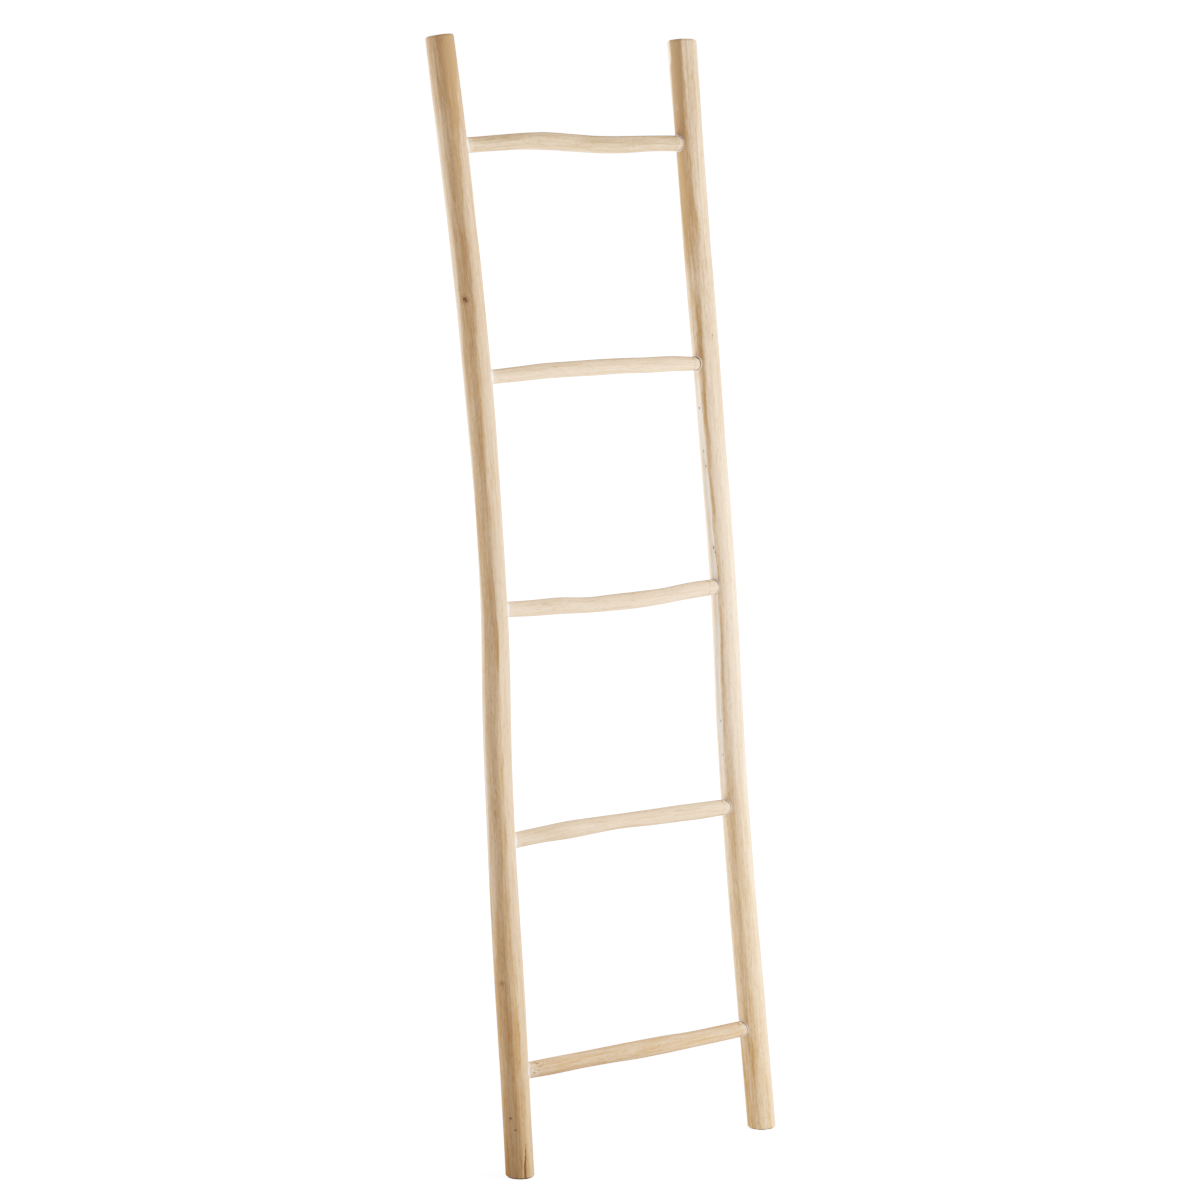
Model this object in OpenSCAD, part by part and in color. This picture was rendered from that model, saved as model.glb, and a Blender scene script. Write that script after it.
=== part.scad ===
// Leaning decorative ladder of peeled branch wood
// Two bowed side poles carry five rungs on round tenons, with filler at each mouth and a hidden pin
// X runs along the rungs, Y towards the wall and Z up from the floor

/* [Ladder] */
// Length of the right side pole
ladder_length = 1803; // [1500:1:2100]
// How much longer the left side pole is at its top
left_extra = 4; // [0:1:15]
// Distance between the centre lines of the side poles
stile_spacing = 461; // [420:1:520]
// Lean towards the wall, in degrees
lean = 7.15; // [4:0.05:12]

/* [Side poles] */
// Thickness of the left side pole
left_stile_d = 47; // [44:0.5:54]
// Thickness of the right side pole
right_stile_d = 46; // [44:0.5:54]
// Largest bend of the left side pole towards the right
left_bow = 15; // [0:0.5:25]
// Largest bend of the right side pole to either side
right_bow = 5; // [0:0.5:15]
// Largest bend of either side pole in depth
stile_sway = 5; // [0:0.5:10]
// Radius of the worn rim at the top of a side pole
top_rim = 5; // [1:0.5:8]
// Slope of the left pole's top, higher on the inner side, in degrees
left_top_angle = 5; // [-15:1:20]
// Slope of the right pole's top, higher on the inner side, in degrees
right_top_angle = 2; // [-15:1:20]
// Worn edge round each foot
foot_chamfer = 2.5; // [0.5:0.25:4]

/* [Rungs] */
// Thickness of the rungs
rung_d = 27; // [25:0.5:32]
// Height of the bottom rung along the side poles
bottom_rung_height = 167; // [120:1:260]
// Distance from the top rung to the top of the right side pole
top_rung_drop = 169; // [120:1:260]
// Rise or sag that the rungs' bends are shares of
rung_bow = 5; // [0:0.5:8]
// Bend of the rungs in depth
rung_sway = 2; // [0:0.5:5]
// Length of the rounded bevel at each end of a rung
bevel_length = 9; // [5:0.5:14]

/* [Joints] */
// Thickness of the tenons
tenon_d = 21.5; // [16:0.5:22]
// Length of a tenon inside the side pole
tenon_length = 28; // [24:1:32]
// Width of the ledge between a rung's bevel and its tenon
shoulder_w = 0.5; // [0.25:0.25:2]
// Space behind the tenon in its mortise
mortise_spare = 2; // [1:0.5:4]
// Gap for the filler between a tenon and its mortise
glue_gap = 0.4; // [0.2:0.1:0.8]
// Depth of the filler in the mortise
filler_depth = 6; // [3:0.5:10]
// Width of the filler's rim round the mouth
collar_w = 2; // [1:0.25:4]
// Height of the filler's rim over the side pole
collar_proud = 0.8; // [0.4:0.1:1.5]
// Gap between the filler's rim and a rung's shoulder
shoulder_clear = 0.2; // [0.1:0.1:0.6]

/* [Pins] */
// Thickness of a pin
pin_d = 3; // [2:0.25:4]
// Length of a pin with its head
pin_length = 34; // [28:1:36]
// Width of a pin's head
pin_head_d = 6; // [5:0.25:6.5]
// Thickness of a pin's head
pin_head_h = 1.2; // [0.8:0.1:2]
// Length of a pin's point
pin_point = 5; // [3:0.5:8]
// Distance from the side pole's centre line to its pins, towards the rungs
pin_offset = 6; // [4:0.5:8]
// Width of the plug over a pin
plug_d = 7; // [6.75:0.25:9]
// Thickness of the plug over a pin
plug_h = 4; // [3:0.5:5]
// Clearance round a driven pin
pin_gap = 0.05; // [0.02:0.01:0.15]

/* [Surface] */
// How far the branches are from round, as a share of their radius
ovality = 0.012; // [0:0.002:0.03]
// Sides of a side pole's skin
stile_sides = 32; // [16:2:40]
// Rings along a side pole
stile_rings = 36; // [24:2:60]
// Sides of a rung's skin
rung_sides = 24; // [16:2:32]
// Rings along a rung between its bevels
rung_rings = 16; // [12:1:24]

/* [Hidden] */

left = 0;
right = 1;
bottom = 0;
second = 1;
middle = 2;
fourth = 3;
top = 4;
rung_count = 5;

// Turn of the off-round shape from one branch to the next, in degrees
pole_turn = 90;
rung_turn = 70;

pole_color = "#d2b48a";
rung_color = "#e2cda8";
filler_color = "#e9e4da";
plug_color = "#cdb28c";
pin_color = "silver";
$fn = 48;

// Side poles at even steps from foot to top, as shares: bend to the right, bend to the wall, thickness
stile_shape = [
    [[-0.7, 0, 1.01], [-0.4, 0.2, 1.03], [-0.2, 0, 1.01], [0.1, -0.6, 1], [0.9, -1, 0.95],
     [1, -1, 0.98], [0.8, -0.6, 0.99], [0.2, -0.2, 1.02], [-0.65, 0, 1]],
    [[1.3, 0, 1.02], [0.2, -0.2, 1.02], [-0.6, -0.4, 0.99], [-0.4, -0.2, 0.99], [1.1, 0.4, 0.95],
     [1, 0.8, 0.98], [0.5, 0.8, 1.02], [-0.4, 0.4, 1.03], [-1.1, -0.2, 1.09]]];

// Rungs at even steps from left to right, as shares: rise, bend to the wall, thickness
rung_shape = [
    [[0, 0, 1], [-0.1, 0.5, 1.04], [-0.1, 1, 1.01], [-0.1, 0.5, 1.04], [-0.2, 0, 1.1],
     [-0.2, -0.5, 1.1], [-0.3, -0.5, 1.02], [-0.2, 0, 1.01], [0, 0, 1]],
    [[0, 0, 0.96], [0.5, -0.5, 0.99], [0.7, -1, 1.08], [0.8, -0.5, 1], [0.8, 0, 0.94],
     [0.5, 0.5, 1.01], [0.3, 1, 1.06], [0.1, 0.5, 1.06], [0, 0, 1]],
    [[0, 0, 0.95], [-0.4, 0.5, 0.99], [-0.6, 0, 1.04], [-1.3, -0.5, 0.98], [-1.4, -1, 1.03],
     [-1.4, -1, 1.05], [-1.1, 0, 0.99], [-0.4, 0.5, 1.01], [0, 0, 0.98]],
    [[0, 0, 0.9], [0.4, 0.5, 0.94], [0.8, 0.5, 0.98], [0.9, 0, 0.98], [0.9, -0.5, 1.01],
     [0.9, -1, 0.97], [0.6, -0.5, 0.98], [0.5, 0, 0.97], [0, 0, 0.88]],
    [[0, 0, 0.96], [0.6, -0.5, 0.97], [1.1, -1, 1], [1.1, -0.5, 1.07], [0.5, 0.5, 1.06],
     [-0.1, 1, 1.05], [-0.2, 1, 1.04], [0.1, 0.5, 0.98], [0, 0, 1]]];

// How far each rung's left and right ends sit from even spacing, as shares of the rungs' rise
rung_skew = [[-0.6, 0.3], [-0.4, 1], [-0.4, 0.5], [0, 1], [0, 0]];

stile_length = [ladder_length + left_extra, ladder_length];
stile_d = [left_stile_d, right_stile_d];
stile_bow = [left_bow, right_bow];
top_angle = [left_top_angle, right_top_angle];
rung_pitch = (ladder_length - bottom_rung_height - top_rung_drop) / (rung_count - 1);
mortise_d = tenon_d + 2 * glue_gap;
mortise_depth = tenon_length + mortise_spare;
collar_d = mortise_d + 2 * collar_w;
shoulder_d = tenon_d + 2 * shoulder_w;
shoulder_gap = collar_proud + shoulder_clear;
tenon_root = 2 * bevel_length;
slope_fade = 1.25 * left_stile_d;
rim_steps = 4;
foot_spare = left_stile_d / 4;
stretch_reach = 1.5 * tenon_d;
outside = left_stile_d / 4;

// Value at t, from 0 to 1, on a smooth curve through evenly spaced stations
function along(stations, t) =
    let (last = len(stations) - 1,
         place = min(max(t, 0), 1) * last,
         i = min(floor(place), last - 1),
         u = place - i,
         b = stations[i],
         c = stations[i + 1],
         a = i > 0 ? stations[i - 1] : 2 * b - c,
         d = i + 2 <= last ? stations[i + 2] : 2 * c - b)
    b + u * (c - a + u * (2 * a - 5 * b + 4 * c - d + u * (3 * b - a - 3 * c + d))) / 2;

// Factor that takes a branch off round, at an angle and a place t along it
function girth(angle, t, grain) =
    1 + ovality * (sin(2 * angle + 300 * t + grain) + 0.5 * sin(3 * angle - 500 * t + 2 * grain));

// Share of an end slope that is left at a distance from that end
function fading(distance) = pow(max(0, 1 - max(0, distance) / slope_fade), 2);

// Centre of a side pole at a height along it
function stile_centre(side, height) =
    let (station = along(stile_shape[side], height / stile_length[side]))
    [(side == left ? -1 : 1) * stile_spacing / 2 + station[0] * stile_bow[side], station[1] * stile_sway, height];

// Radius of a side pole at a height along it and an angle round it
function stile_radius(side, height, angle) =
    let (t = height / stile_length[side])
    stile_d[side] / 2 * along(stile_shape[side], t)[2] * girth(angle, t, pole_turn * side);

// Levels of a side pole's rings: height and inset, with the foot's chamfer carried on below the floor
function stile_levels(side) = concat(
    [[-foot_spare, foot_chamfer + foot_spare], [foot_chamfer, 0]],
    [for (i = [1 : stile_rings]) [(stile_length[side] - top_rim) * i / stile_rings, 0]],
    [for (j = [1 : rim_steps])
        let (turn = 90 * j / rim_steps)
        [stile_length[side] - top_rim * (1 - sin(turn)), top_rim * (1 - cos(turn))]]);

// Ring of points round a side pole, sloped as the floor at its foot and as the cut at its top
function stile_ring(side, level, extra) =
    let (centre = stile_centre(side, level[0]),
         floor_slope = tan(lean) * fading(level[0]),
         cut_slope = tan(top_angle[side]) * fading(stile_length[side] - level[0]) * (side == left ? 1 : -1))
    [for (k = [0 : stile_sides - 1])
        let (angle = 360 * (k + 0.5) / stile_sides,
             r = stile_radius(side, level[0], angle) - level[1] + extra,
             x = r * cos(angle),
             y = r * sin(angle))
        centre + [x, y, floor_slope * (centre[1] + y) + cut_slope * x]];

// Height of a rung's end along its side pole
function rung_height(i, side) = bottom_rung_height + i * rung_pitch + rung_skew[i][side] * rung_bow;

// Ends of a rung's straight line, on the centre lines of the side poles
function rung_end(i, side) = stile_centre(side, rung_height(i, side));
function rung_span(i) = norm(rung_end(i, right) - rung_end(i, left));

// Distance from a side pole's centre line to its surface, towards the rungs
function mouth_reach(i, side) = stile_radius(side, rung_height(i, side), side == left ? 0 : 180);

// Point of the ladder after it leans back
function leaned(p) =
    [p[0], p[1] * cos(lean) + p[2] * sin(lean), p[2] * cos(lean) - p[1] * sin(lean)];

// Place of the ladder's box, which the origin is centred under
skin_points = [for (side = [left, right]) for (level = stile_levels(side)) if (level[0] >= 0)
    each [for (p = stile_ring(side, level, 0)) leaned(p)]];
skin_x = [for (p = skin_points) p[0]];
skin_y = [for (p = skin_points) p[1]];
centring = [-(min(skin_x) + max(skin_x)) / 2, -(min(skin_y) + max(skin_y)) / 2, 0];

// Moves what is drawn upright to the ladder's leaning place over the origin
module leaning() {
    translate(centring)
        rotate([-lean, 0, 0])
            children();
}

// Closed skin over rings that run upwards, with as many points each
module skin(rings) {
    sides = len(rings[0]);
    last = len(rings) - 1;
    points = [for (ring = rings) each ring];
    walls = [for (i = [0 : last - 1]) for (k = [0 : sides - 1])
        let (a = i * sides + k, b = i * sides + (k + 1) % sides)
        each [[a, a + sides, b + sides], [a, b + sides, b]]];
    start = [for (k = [0 : sides - 1]) k];
    finish = [for (k = [sides - 1 : -1 : 0]) last * sides + k];
    polyhedron(points, concat([start], walls, [finish]), convexity = 4);
}

// Side pole between two heights, with its skin moved out by an extra
module pole(side, low, high, extra) {
    skin([for (level = stile_levels(side)) if (level[0] >= low && level[0] <= high) stile_ring(side, level, extra)]);
}

// Short stretch of a side pole round one joint, with its skin moved out by an extra
module pole_at_joint(side, i, extra) {
    height = rung_height(i, side);
    pole(side, height - stretch_reach - ladder_length / stile_rings,
         height + stretch_reach + ladder_length / stile_rings, extra);
}

// Puts what is drawn along Z on a rung's straight line, from its left end
module on_rung_line(i) {
    run = rung_end(i, right) - rung_end(i, left);
    translate(rung_end(i, left))
        rotate([0, acos(run[2] / norm(run)), atan2(run[1], run[0])])
            children();
}

// Puts what is drawn at a joint's mouth, with Z out of the side pole along the rung
module at_mouth(i, side) {
    on_rung_line(i)
        if (side == left)
            translate([0, 0, mouth_reach(i, left)])
                children();
        else
            translate([0, 0, rung_span(i) - mouth_reach(i, right)])
                rotate([180, 0, 0])
                    children();
}

// Puts what is drawn at a pin's place on its side pole's surface, with Z out of the back
module at_pin(i, side) {
    centre = rung_end(i, side);
    shift = side == left ? pin_offset : -pin_offset;
    around = atan2(sqrt(pow(mouth_reach(i, side), 2) - pow(pin_offset, 2)), shift);
    back = stile_radius(side, rung_height(i, side), around) * sin(around);
    translate(centre + [shift, back, 0])
        rotate([-90, 0, 0])
            children();
}

// Cylinder between two places along Z
module rod(d, from, to) {
    translate([0, 0, from])
        cylinder(d = d, h = to - from);
}

// Hole that cuts a side pole for one tenon
module mortise(i, side) {
    at_mouth(i, side)
        rod(mortise_d, -mortise_depth, outside);
}

// Tenon of a rung, reaching back into its body
module tenon(i, side, to) {
    at_mouth(i, side)
        rod(tenon_d, -tenon_length, to);
}

// Pin with its head at its place, with a gap all round where it cuts its own hole
module pin(i, side, gap) {
    at_pin(i, side) {
        rod(pin_head_d + 2 * gap, -plug_h - pin_head_h - gap, -plug_h);
        rod(pin_d + 2 * gap, -plug_h - pin_length + pin_point, -plug_h - pin_head_h / 2);
        translate([0, 0, -plug_h - pin_length])
            cylinder(d1 = pin_d / 3 + 2 * gap, d2 = pin_d + 2 * gap, h = pin_point);
    }
}

// Hole for a pin and the plug over it
module pin_hole(i, side) {
    pin(i, side, pin_gap);
    at_pin(i, side)
        rod(plug_d, -plug_h, outside);
}

// Side pole with its mortises and pin holes, cut level with the floor
module stile(side) {
    color(pole_color)
        difference() {
            leaning()
                difference() {
                    pole(side, -2 * foot_spare, stile_length[side], 0);
                    for (i = [0 : rung_count - 1]) {
                        mortise(i, side);
                        pin_hole(i, side);
                    }
                }
            translate([-stile_spacing, -ladder_length / 2, -3 * foot_spare])
                cube([2 * stile_spacing, ladder_length, 3 * foot_spare]);
        }
}

// Levels of a rung's rings from its left shoulder, along a body of some length
function rung_levels(body) =
    let (bevel = [0, 0.15, 0.4, 0.7, 1])
    concat(
        [for (share = bevel) share * bevel_length],
        [for (j = [1 : rung_rings - 1]) bevel_length + (body - 2 * bevel_length) * j / rung_rings],
        [for (j = [len(bevel) - 1 : -1 : 0]) body - bevel[j] * bevel_length]);

// Thickness of a rung at a place along its body, drawn in to the shoulder at both ends
function rung_thickness(i, place, body) =
    let (full = rung_d * along(rung_shape[i], place / body)[2],
         inwards = min(1, min(place, body - place) / bevel_length))
    shoulder_d + max(0, full - shoulder_d) * sqrt(max(0, 1 - pow(1 - inwards, 2)));

// Rung of branch wood with a bevel and a tenon at both ends, and the holes of its pins
module rung(i) {
    start = mouth_reach(i, left) + shoulder_gap;
    body = rung_span(i) - start - mouth_reach(i, right) - shoulder_gap;
    rings = [for (place = rung_levels(body))
        let (t = place / body,
             station = along(rung_shape[i], t),
             r = rung_thickness(i, place, body) / 2)
        [for (k = [0 : rung_sides - 1])
            let (angle = 360 * (k + 0.5) / rung_sides, grown = r * girth(angle, t, rung_turn * i))
            [grown * cos(angle) - station[0] * rung_bow,
             grown * sin(angle) + station[1] * rung_sway,
             start + place]]];
    color(rung_color)
        leaning()
            difference() {
                union() {
                    on_rung_line(i)
                        skin(rings);
                    tenon(i, left, tenon_root);
                    tenon(i, right, tenon_root);
                }
                pin(i, left, pin_gap);
                pin(i, right, pin_gap);
            }
}

// Filler round one tenon: a sleeve in the mortise and a thin rim that follows the side pole
module filler(i, side) {
    color(filler_color)
        leaning()
            intersection() {
                pole_at_joint(side, i, collar_proud);
                difference() {
                    union() {
                        at_mouth(i, side)
                            rod(mortise_d, -filler_depth, outside);
                        difference() {
                            at_mouth(i, side)
                                rod(collar_d, -filler_depth, outside);
                            pole_at_joint(side, i, 0);
                        }
                    }
                    at_mouth(i, side)
                        rod(tenon_d, -filler_depth - outside, 2 * outside);
                }
            }
}

// Pins of one side pole
module pins(side) {
    color(pin_color)
        leaning()
            for (i = [0 : rung_count - 1])
                pin(i, side, 0);
}

// Plugs over the pins of one side pole, flush with its back
module pin_plugs(side) {
    color(plug_color)
        leaning()
            for (i = [0 : rung_count - 1])
                intersection() {
                    pole_at_joint(side, i, 0);
                    at_pin(i, side)
                        rod(plug_d, -plug_h, outside);
                }
}

stile(left);  // left_stile
stile(right);  // right_stile
rung(bottom);  // bottom_rung
rung(second);  // second_rung
rung(middle);  // middle_rung
rung(fourth);  // fourth_rung
rung(top);  // top_rung
filler(bottom, left);  // filler_left_bottom
filler(second, left);  // filler_left_second
filler(middle, left);  // filler_left_middle
filler(fourth, left);  // filler_left_fourth
filler(top, left);  // filler_left_top
filler(bottom, right);  // filler_right_bottom
filler(second, right);  // filler_right_second
filler(middle, right);  // filler_right_middle
filler(fourth, right);  // filler_right_fourth
filler(top, right);  // filler_right_top
pins(left);  // left_pins
pins(right);  // right_pins
pin_plugs(left);  // left_pin_plugs
pin_plugs(right);  // right_pin_plugs
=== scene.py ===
"""Leaning ladder of peeled branch wood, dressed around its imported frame.

Two bowed poles, five rungs, the dried filler at their mouths and the plugs over the pins are built
as meshes in the frame's own place, in metres: X along the rungs, Y towards the wall and Z up.
"""

import logging
import math
from dataclasses import dataclass, field
from enum import Enum, IntEnum
from typing import Any, Iterable, Optional, Sequence

import bpy
import numpy as np
from bpy.types import Material, Mesh, Node, NodeSocket, NodeTree, Object
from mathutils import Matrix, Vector


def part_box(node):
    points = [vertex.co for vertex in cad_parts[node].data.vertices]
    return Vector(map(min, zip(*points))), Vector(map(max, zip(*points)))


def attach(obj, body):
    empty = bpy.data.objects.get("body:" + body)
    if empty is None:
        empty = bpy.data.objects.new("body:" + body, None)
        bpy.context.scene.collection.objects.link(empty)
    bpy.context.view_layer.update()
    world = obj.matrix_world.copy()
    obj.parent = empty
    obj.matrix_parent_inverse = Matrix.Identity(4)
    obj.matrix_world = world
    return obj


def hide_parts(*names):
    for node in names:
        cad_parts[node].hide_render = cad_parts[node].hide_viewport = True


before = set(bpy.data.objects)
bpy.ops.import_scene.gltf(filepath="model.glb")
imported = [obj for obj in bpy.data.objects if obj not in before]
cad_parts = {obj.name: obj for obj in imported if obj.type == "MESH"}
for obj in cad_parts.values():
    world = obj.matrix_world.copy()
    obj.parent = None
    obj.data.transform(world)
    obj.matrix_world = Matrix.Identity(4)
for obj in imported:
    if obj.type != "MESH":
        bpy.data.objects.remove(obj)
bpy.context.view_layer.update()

log = logging.getLogger("ladder")

Array = np.ndarray
Colour = tuple[float, float, float]
Rows = Sequence[Sequence[float]]

BODY = "root"
MM = 0.001
PLACE = "branch_place"
MARKS = "branch_marks"
TONE = "branch_tone"
RINGS = "branch_rings"


class Named(Enum):
    """Choices that the frame's nodes are named by."""

    @property
    def word(self) -> str:
        """Name used in the frame's nodes."""
        return self.name.lower()


class Side(Named):
    """The two poles, as seen from the front."""

    LEFT = 0
    RIGHT = 1

    @property
    def outwards(self) -> int:
        """Sign of X away from the rungs."""
        return -1 if self is Side.LEFT else 1

    @property
    def other(self) -> "Side":
        """The side across the rungs."""
        return Side(1 - self.value)


class RungPlace(Named):
    """The five rungs from the floor up."""

    BOTTOM = 0
    SECOND = 1
    MIDDLE = 2
    FOURTH = 3
    TOP = 4


class Kind(Enum):
    """What a mark on a branch is, which sets its relief and its stain."""

    KNOT = "knot"
    PIN_KNOT = "pin knot"
    PIT = "pit"
    STAIN = "stain"
    GOUGE = "gouge"
    CRACK = "crack"
    FLUTE = "flute"
    FIGURE = "figure"


class Share(IntEnum):
    """Columns of the marks that are noted on a branch's points."""

    BROWN = 0
    DARK = 1
    GREY = 2
    FILLER = 3


def smooth_curve(stations: Rows, share: Array) -> Array:
    """Values on a smooth curve through evenly spaced stations.

    Args:
        stations: Rows of values at even steps.
        share: Places from 0 to 1, of any shape.

    Returns:
        The values, with the stations' columns as the last axis.
    """
    rows = np.array(stations, float)
    last = len(rows) - 1
    place = np.clip(np.asarray(share, float), 0.0, 1.0) * last
    index = np.minimum(np.floor(place).astype(int), last - 1)
    u = (place - index)[..., None]
    b, c = rows[index], rows[index + 1]
    first, final = (index == 0)[..., None], (index + 2 > last)[..., None]
    a = np.where(first, 2 * b - c, rows[np.maximum(index - 1, 0)])
    d = np.where(final, 2 * c - b, rows[np.minimum(index + 2, last)])
    return b + u * (c - a + u * (2 * a - 5 * b + 4 * c - d + u * (3 * b - a - 3 * c + d))) / 2


def smooth_line(values: Sequence[float], share: Array) -> Array:
    """Single values on a smooth curve through evenly spaced ones."""
    return smooth_curve([[value] for value in values], share)[..., 0]


def soft_step(value: Array, low: float, high: float) -> Array:
    """Rises smoothly from 0 at low to 1 at high."""
    t = np.clip((np.asarray(value, float) - low) / (high - low), 0.0, 1.0)
    return t * t * (3 - 2 * t)


def dome(value: Array, width: float) -> Array:
    """1 at 0, falling off smoothly over a width on both sides."""
    return np.exp(-((value / width) ** 2))


def wander(seed: int, around: Array, along: Array, lobes: Sequence[int], pitch: float) -> Array:
    """Smooth waves over a branch, the same in each run.

    Args:
        seed: Picks the waves.
        around: Angle round the branch in radians.
        along: Distance along the branch in metres.
        lobes: How many waves go round the branch, one for each wave train.
        pitch: Rough length of a wave along the branch in metres.

    Returns:
        Heights of about -1 to 1.
    """
    draws = np.random.default_rng(seed)
    total = np.zeros(np.broadcast(around, along).shape)
    for lobe in lobes:
        phase, drift, bend = draws.uniform(0, math.tau, 3)
        length = pitch * draws.uniform(0.7, 1.5)
        swing = draws.uniform(0.5, 1.4)
        turn = swing * np.sin(math.tau * along / (2.3 * length) + bend)
        swell = 0.6 + 0.4 * np.cos(math.tau * along / length + drift)
        total += np.cos(lobe * around + phase + turn) * swell
    return total / math.sqrt(len(lobes))


def patchy(seed: int, around: Array, lobes: Sequence[int]) -> Array:
    """Uneven shares of about 0 to 1 round a branch, the same in each run."""
    return 0.5 + 0.5 * wander(seed, around, around * 0, lobes, 1.0)


def turned(points: Array, by: Array) -> Array:
    """Points turned about their third axis by angles in radians."""
    cosine, sine = np.cos(by), np.sin(by)
    x, y = points[..., 0], points[..., 1]
    return np.stack([x * cosine - y * sine, x * sine + y * cosine, points[..., 2]], -1)


def ring_angles(count: int) -> Array:
    """Angles of the corners of an even ring."""
    return math.tau * (np.arange(count) + 0.5) / count


def even_by_need(low: float, high: float, step: float, fine: Rows) -> Array:
    """Places along a line, closer together where detail needs it.

    Args:
        low: First place.
        high: Last place.
        step: Usual distance between places.
        fine: Spots as (middle, half width, step there).

    Returns:
        Rising places from low to high.
    """
    test = np.linspace(low, high, 4000)
    need = np.full_like(test, 1 / step)
    for middle, half, close in fine:
        need = np.maximum(need, np.exp(-(((test - middle) / (1.4 * half)) ** 4)) / close)
    total = np.concatenate([[0], np.cumsum((need[1:] + need[:-1]) / 2 * np.diff(test))])
    count = max(2, int(math.ceil(total[-1])))
    return np.interp(np.linspace(0, total[-1], count + 1), total, test)


def in_scene(name: str, data: Any) -> Object:
    """A new object, linked to the scene."""
    made = bpy.data.objects.new(name, data)
    bpy.context.scene.collection.objects.link(made)
    return made


@dataclass(frozen=True)
class LadderSizes:
    """Sizes that the pieces share, the same as the frame's, in metres and radians."""

    length: float = 1.803
    left_extra: float = 0.004
    spacing: float = 0.461
    lean: float = math.radians(7.15)
    set_aside: float = 0.001995
    set_back: float = -0.112125
    bottom_rung_height: float = 0.167
    top_rung_drop: float = 0.169
    rung_bow: float = 0.005
    rung_sway: float = 0.002
    rung_d: float = 0.027
    bevel_length: float = 0.009
    tenon_d: float = 0.0215
    tenon_length: float = 0.028
    mortise_d: float = 0.0223
    mortise_depth: float = 0.030
    shoulder_d: float = 0.0225
    shoulder_gap: float = 0.0002
    pin_offset: float = 0.006
    pin_hole_d: float = 0.0031
    pin_depth: float = 0.0381
    plug_d: float = 0.007
    plug_depth: float = 0.004
    ovality: float = 0.012

    @property
    def rung_pitch(self) -> float:
        """Distance between rungs along the poles."""
        return (self.length - self.bottom_rung_height - self.top_rung_drop) / 4

    def leaned(self, points: Array) -> Array:
        """Moves points of the upright ladder to its leaning place over the origin."""
        sine, cosine = math.sin(self.lean), math.cos(self.lean)
        x, y, z = points[..., 0], points[..., 1], points[..., 2]
        return np.stack(
            [x + self.set_aside, y * cosine + z * sine + self.set_back, z * cosine - y * sine], -1)

    def upright(self, points: Array) -> Array:
        """Undoes leaned()."""
        sine, cosine = math.sin(self.lean), math.cos(self.lean)
        x, y, z = points[..., 0] - self.set_aside, points[..., 1] - self.set_back, points[..., 2]
        return np.stack([x, y * cosine - z * sine, y * sine + z * cosine], -1)

    def girth(self, angle: Array, share: Array, turn: float) -> Array:
        """Factor that takes a branch off round, as in the frame.

        Args:
            angle: Angles round the branch.
            share: Places along it, from 0 to 1.
            turn: How far its lobes are turned, in degrees.

        Returns:
            The factor for the radius.
        """
        degree = math.radians(1)
        first = np.sin(2 * angle + (300 * share + turn) * degree)
        second = 0.5 * np.sin(3 * angle + (2 * turn - 500 * share) * degree)
        return 1 + self.ovality * (first + second)


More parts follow.
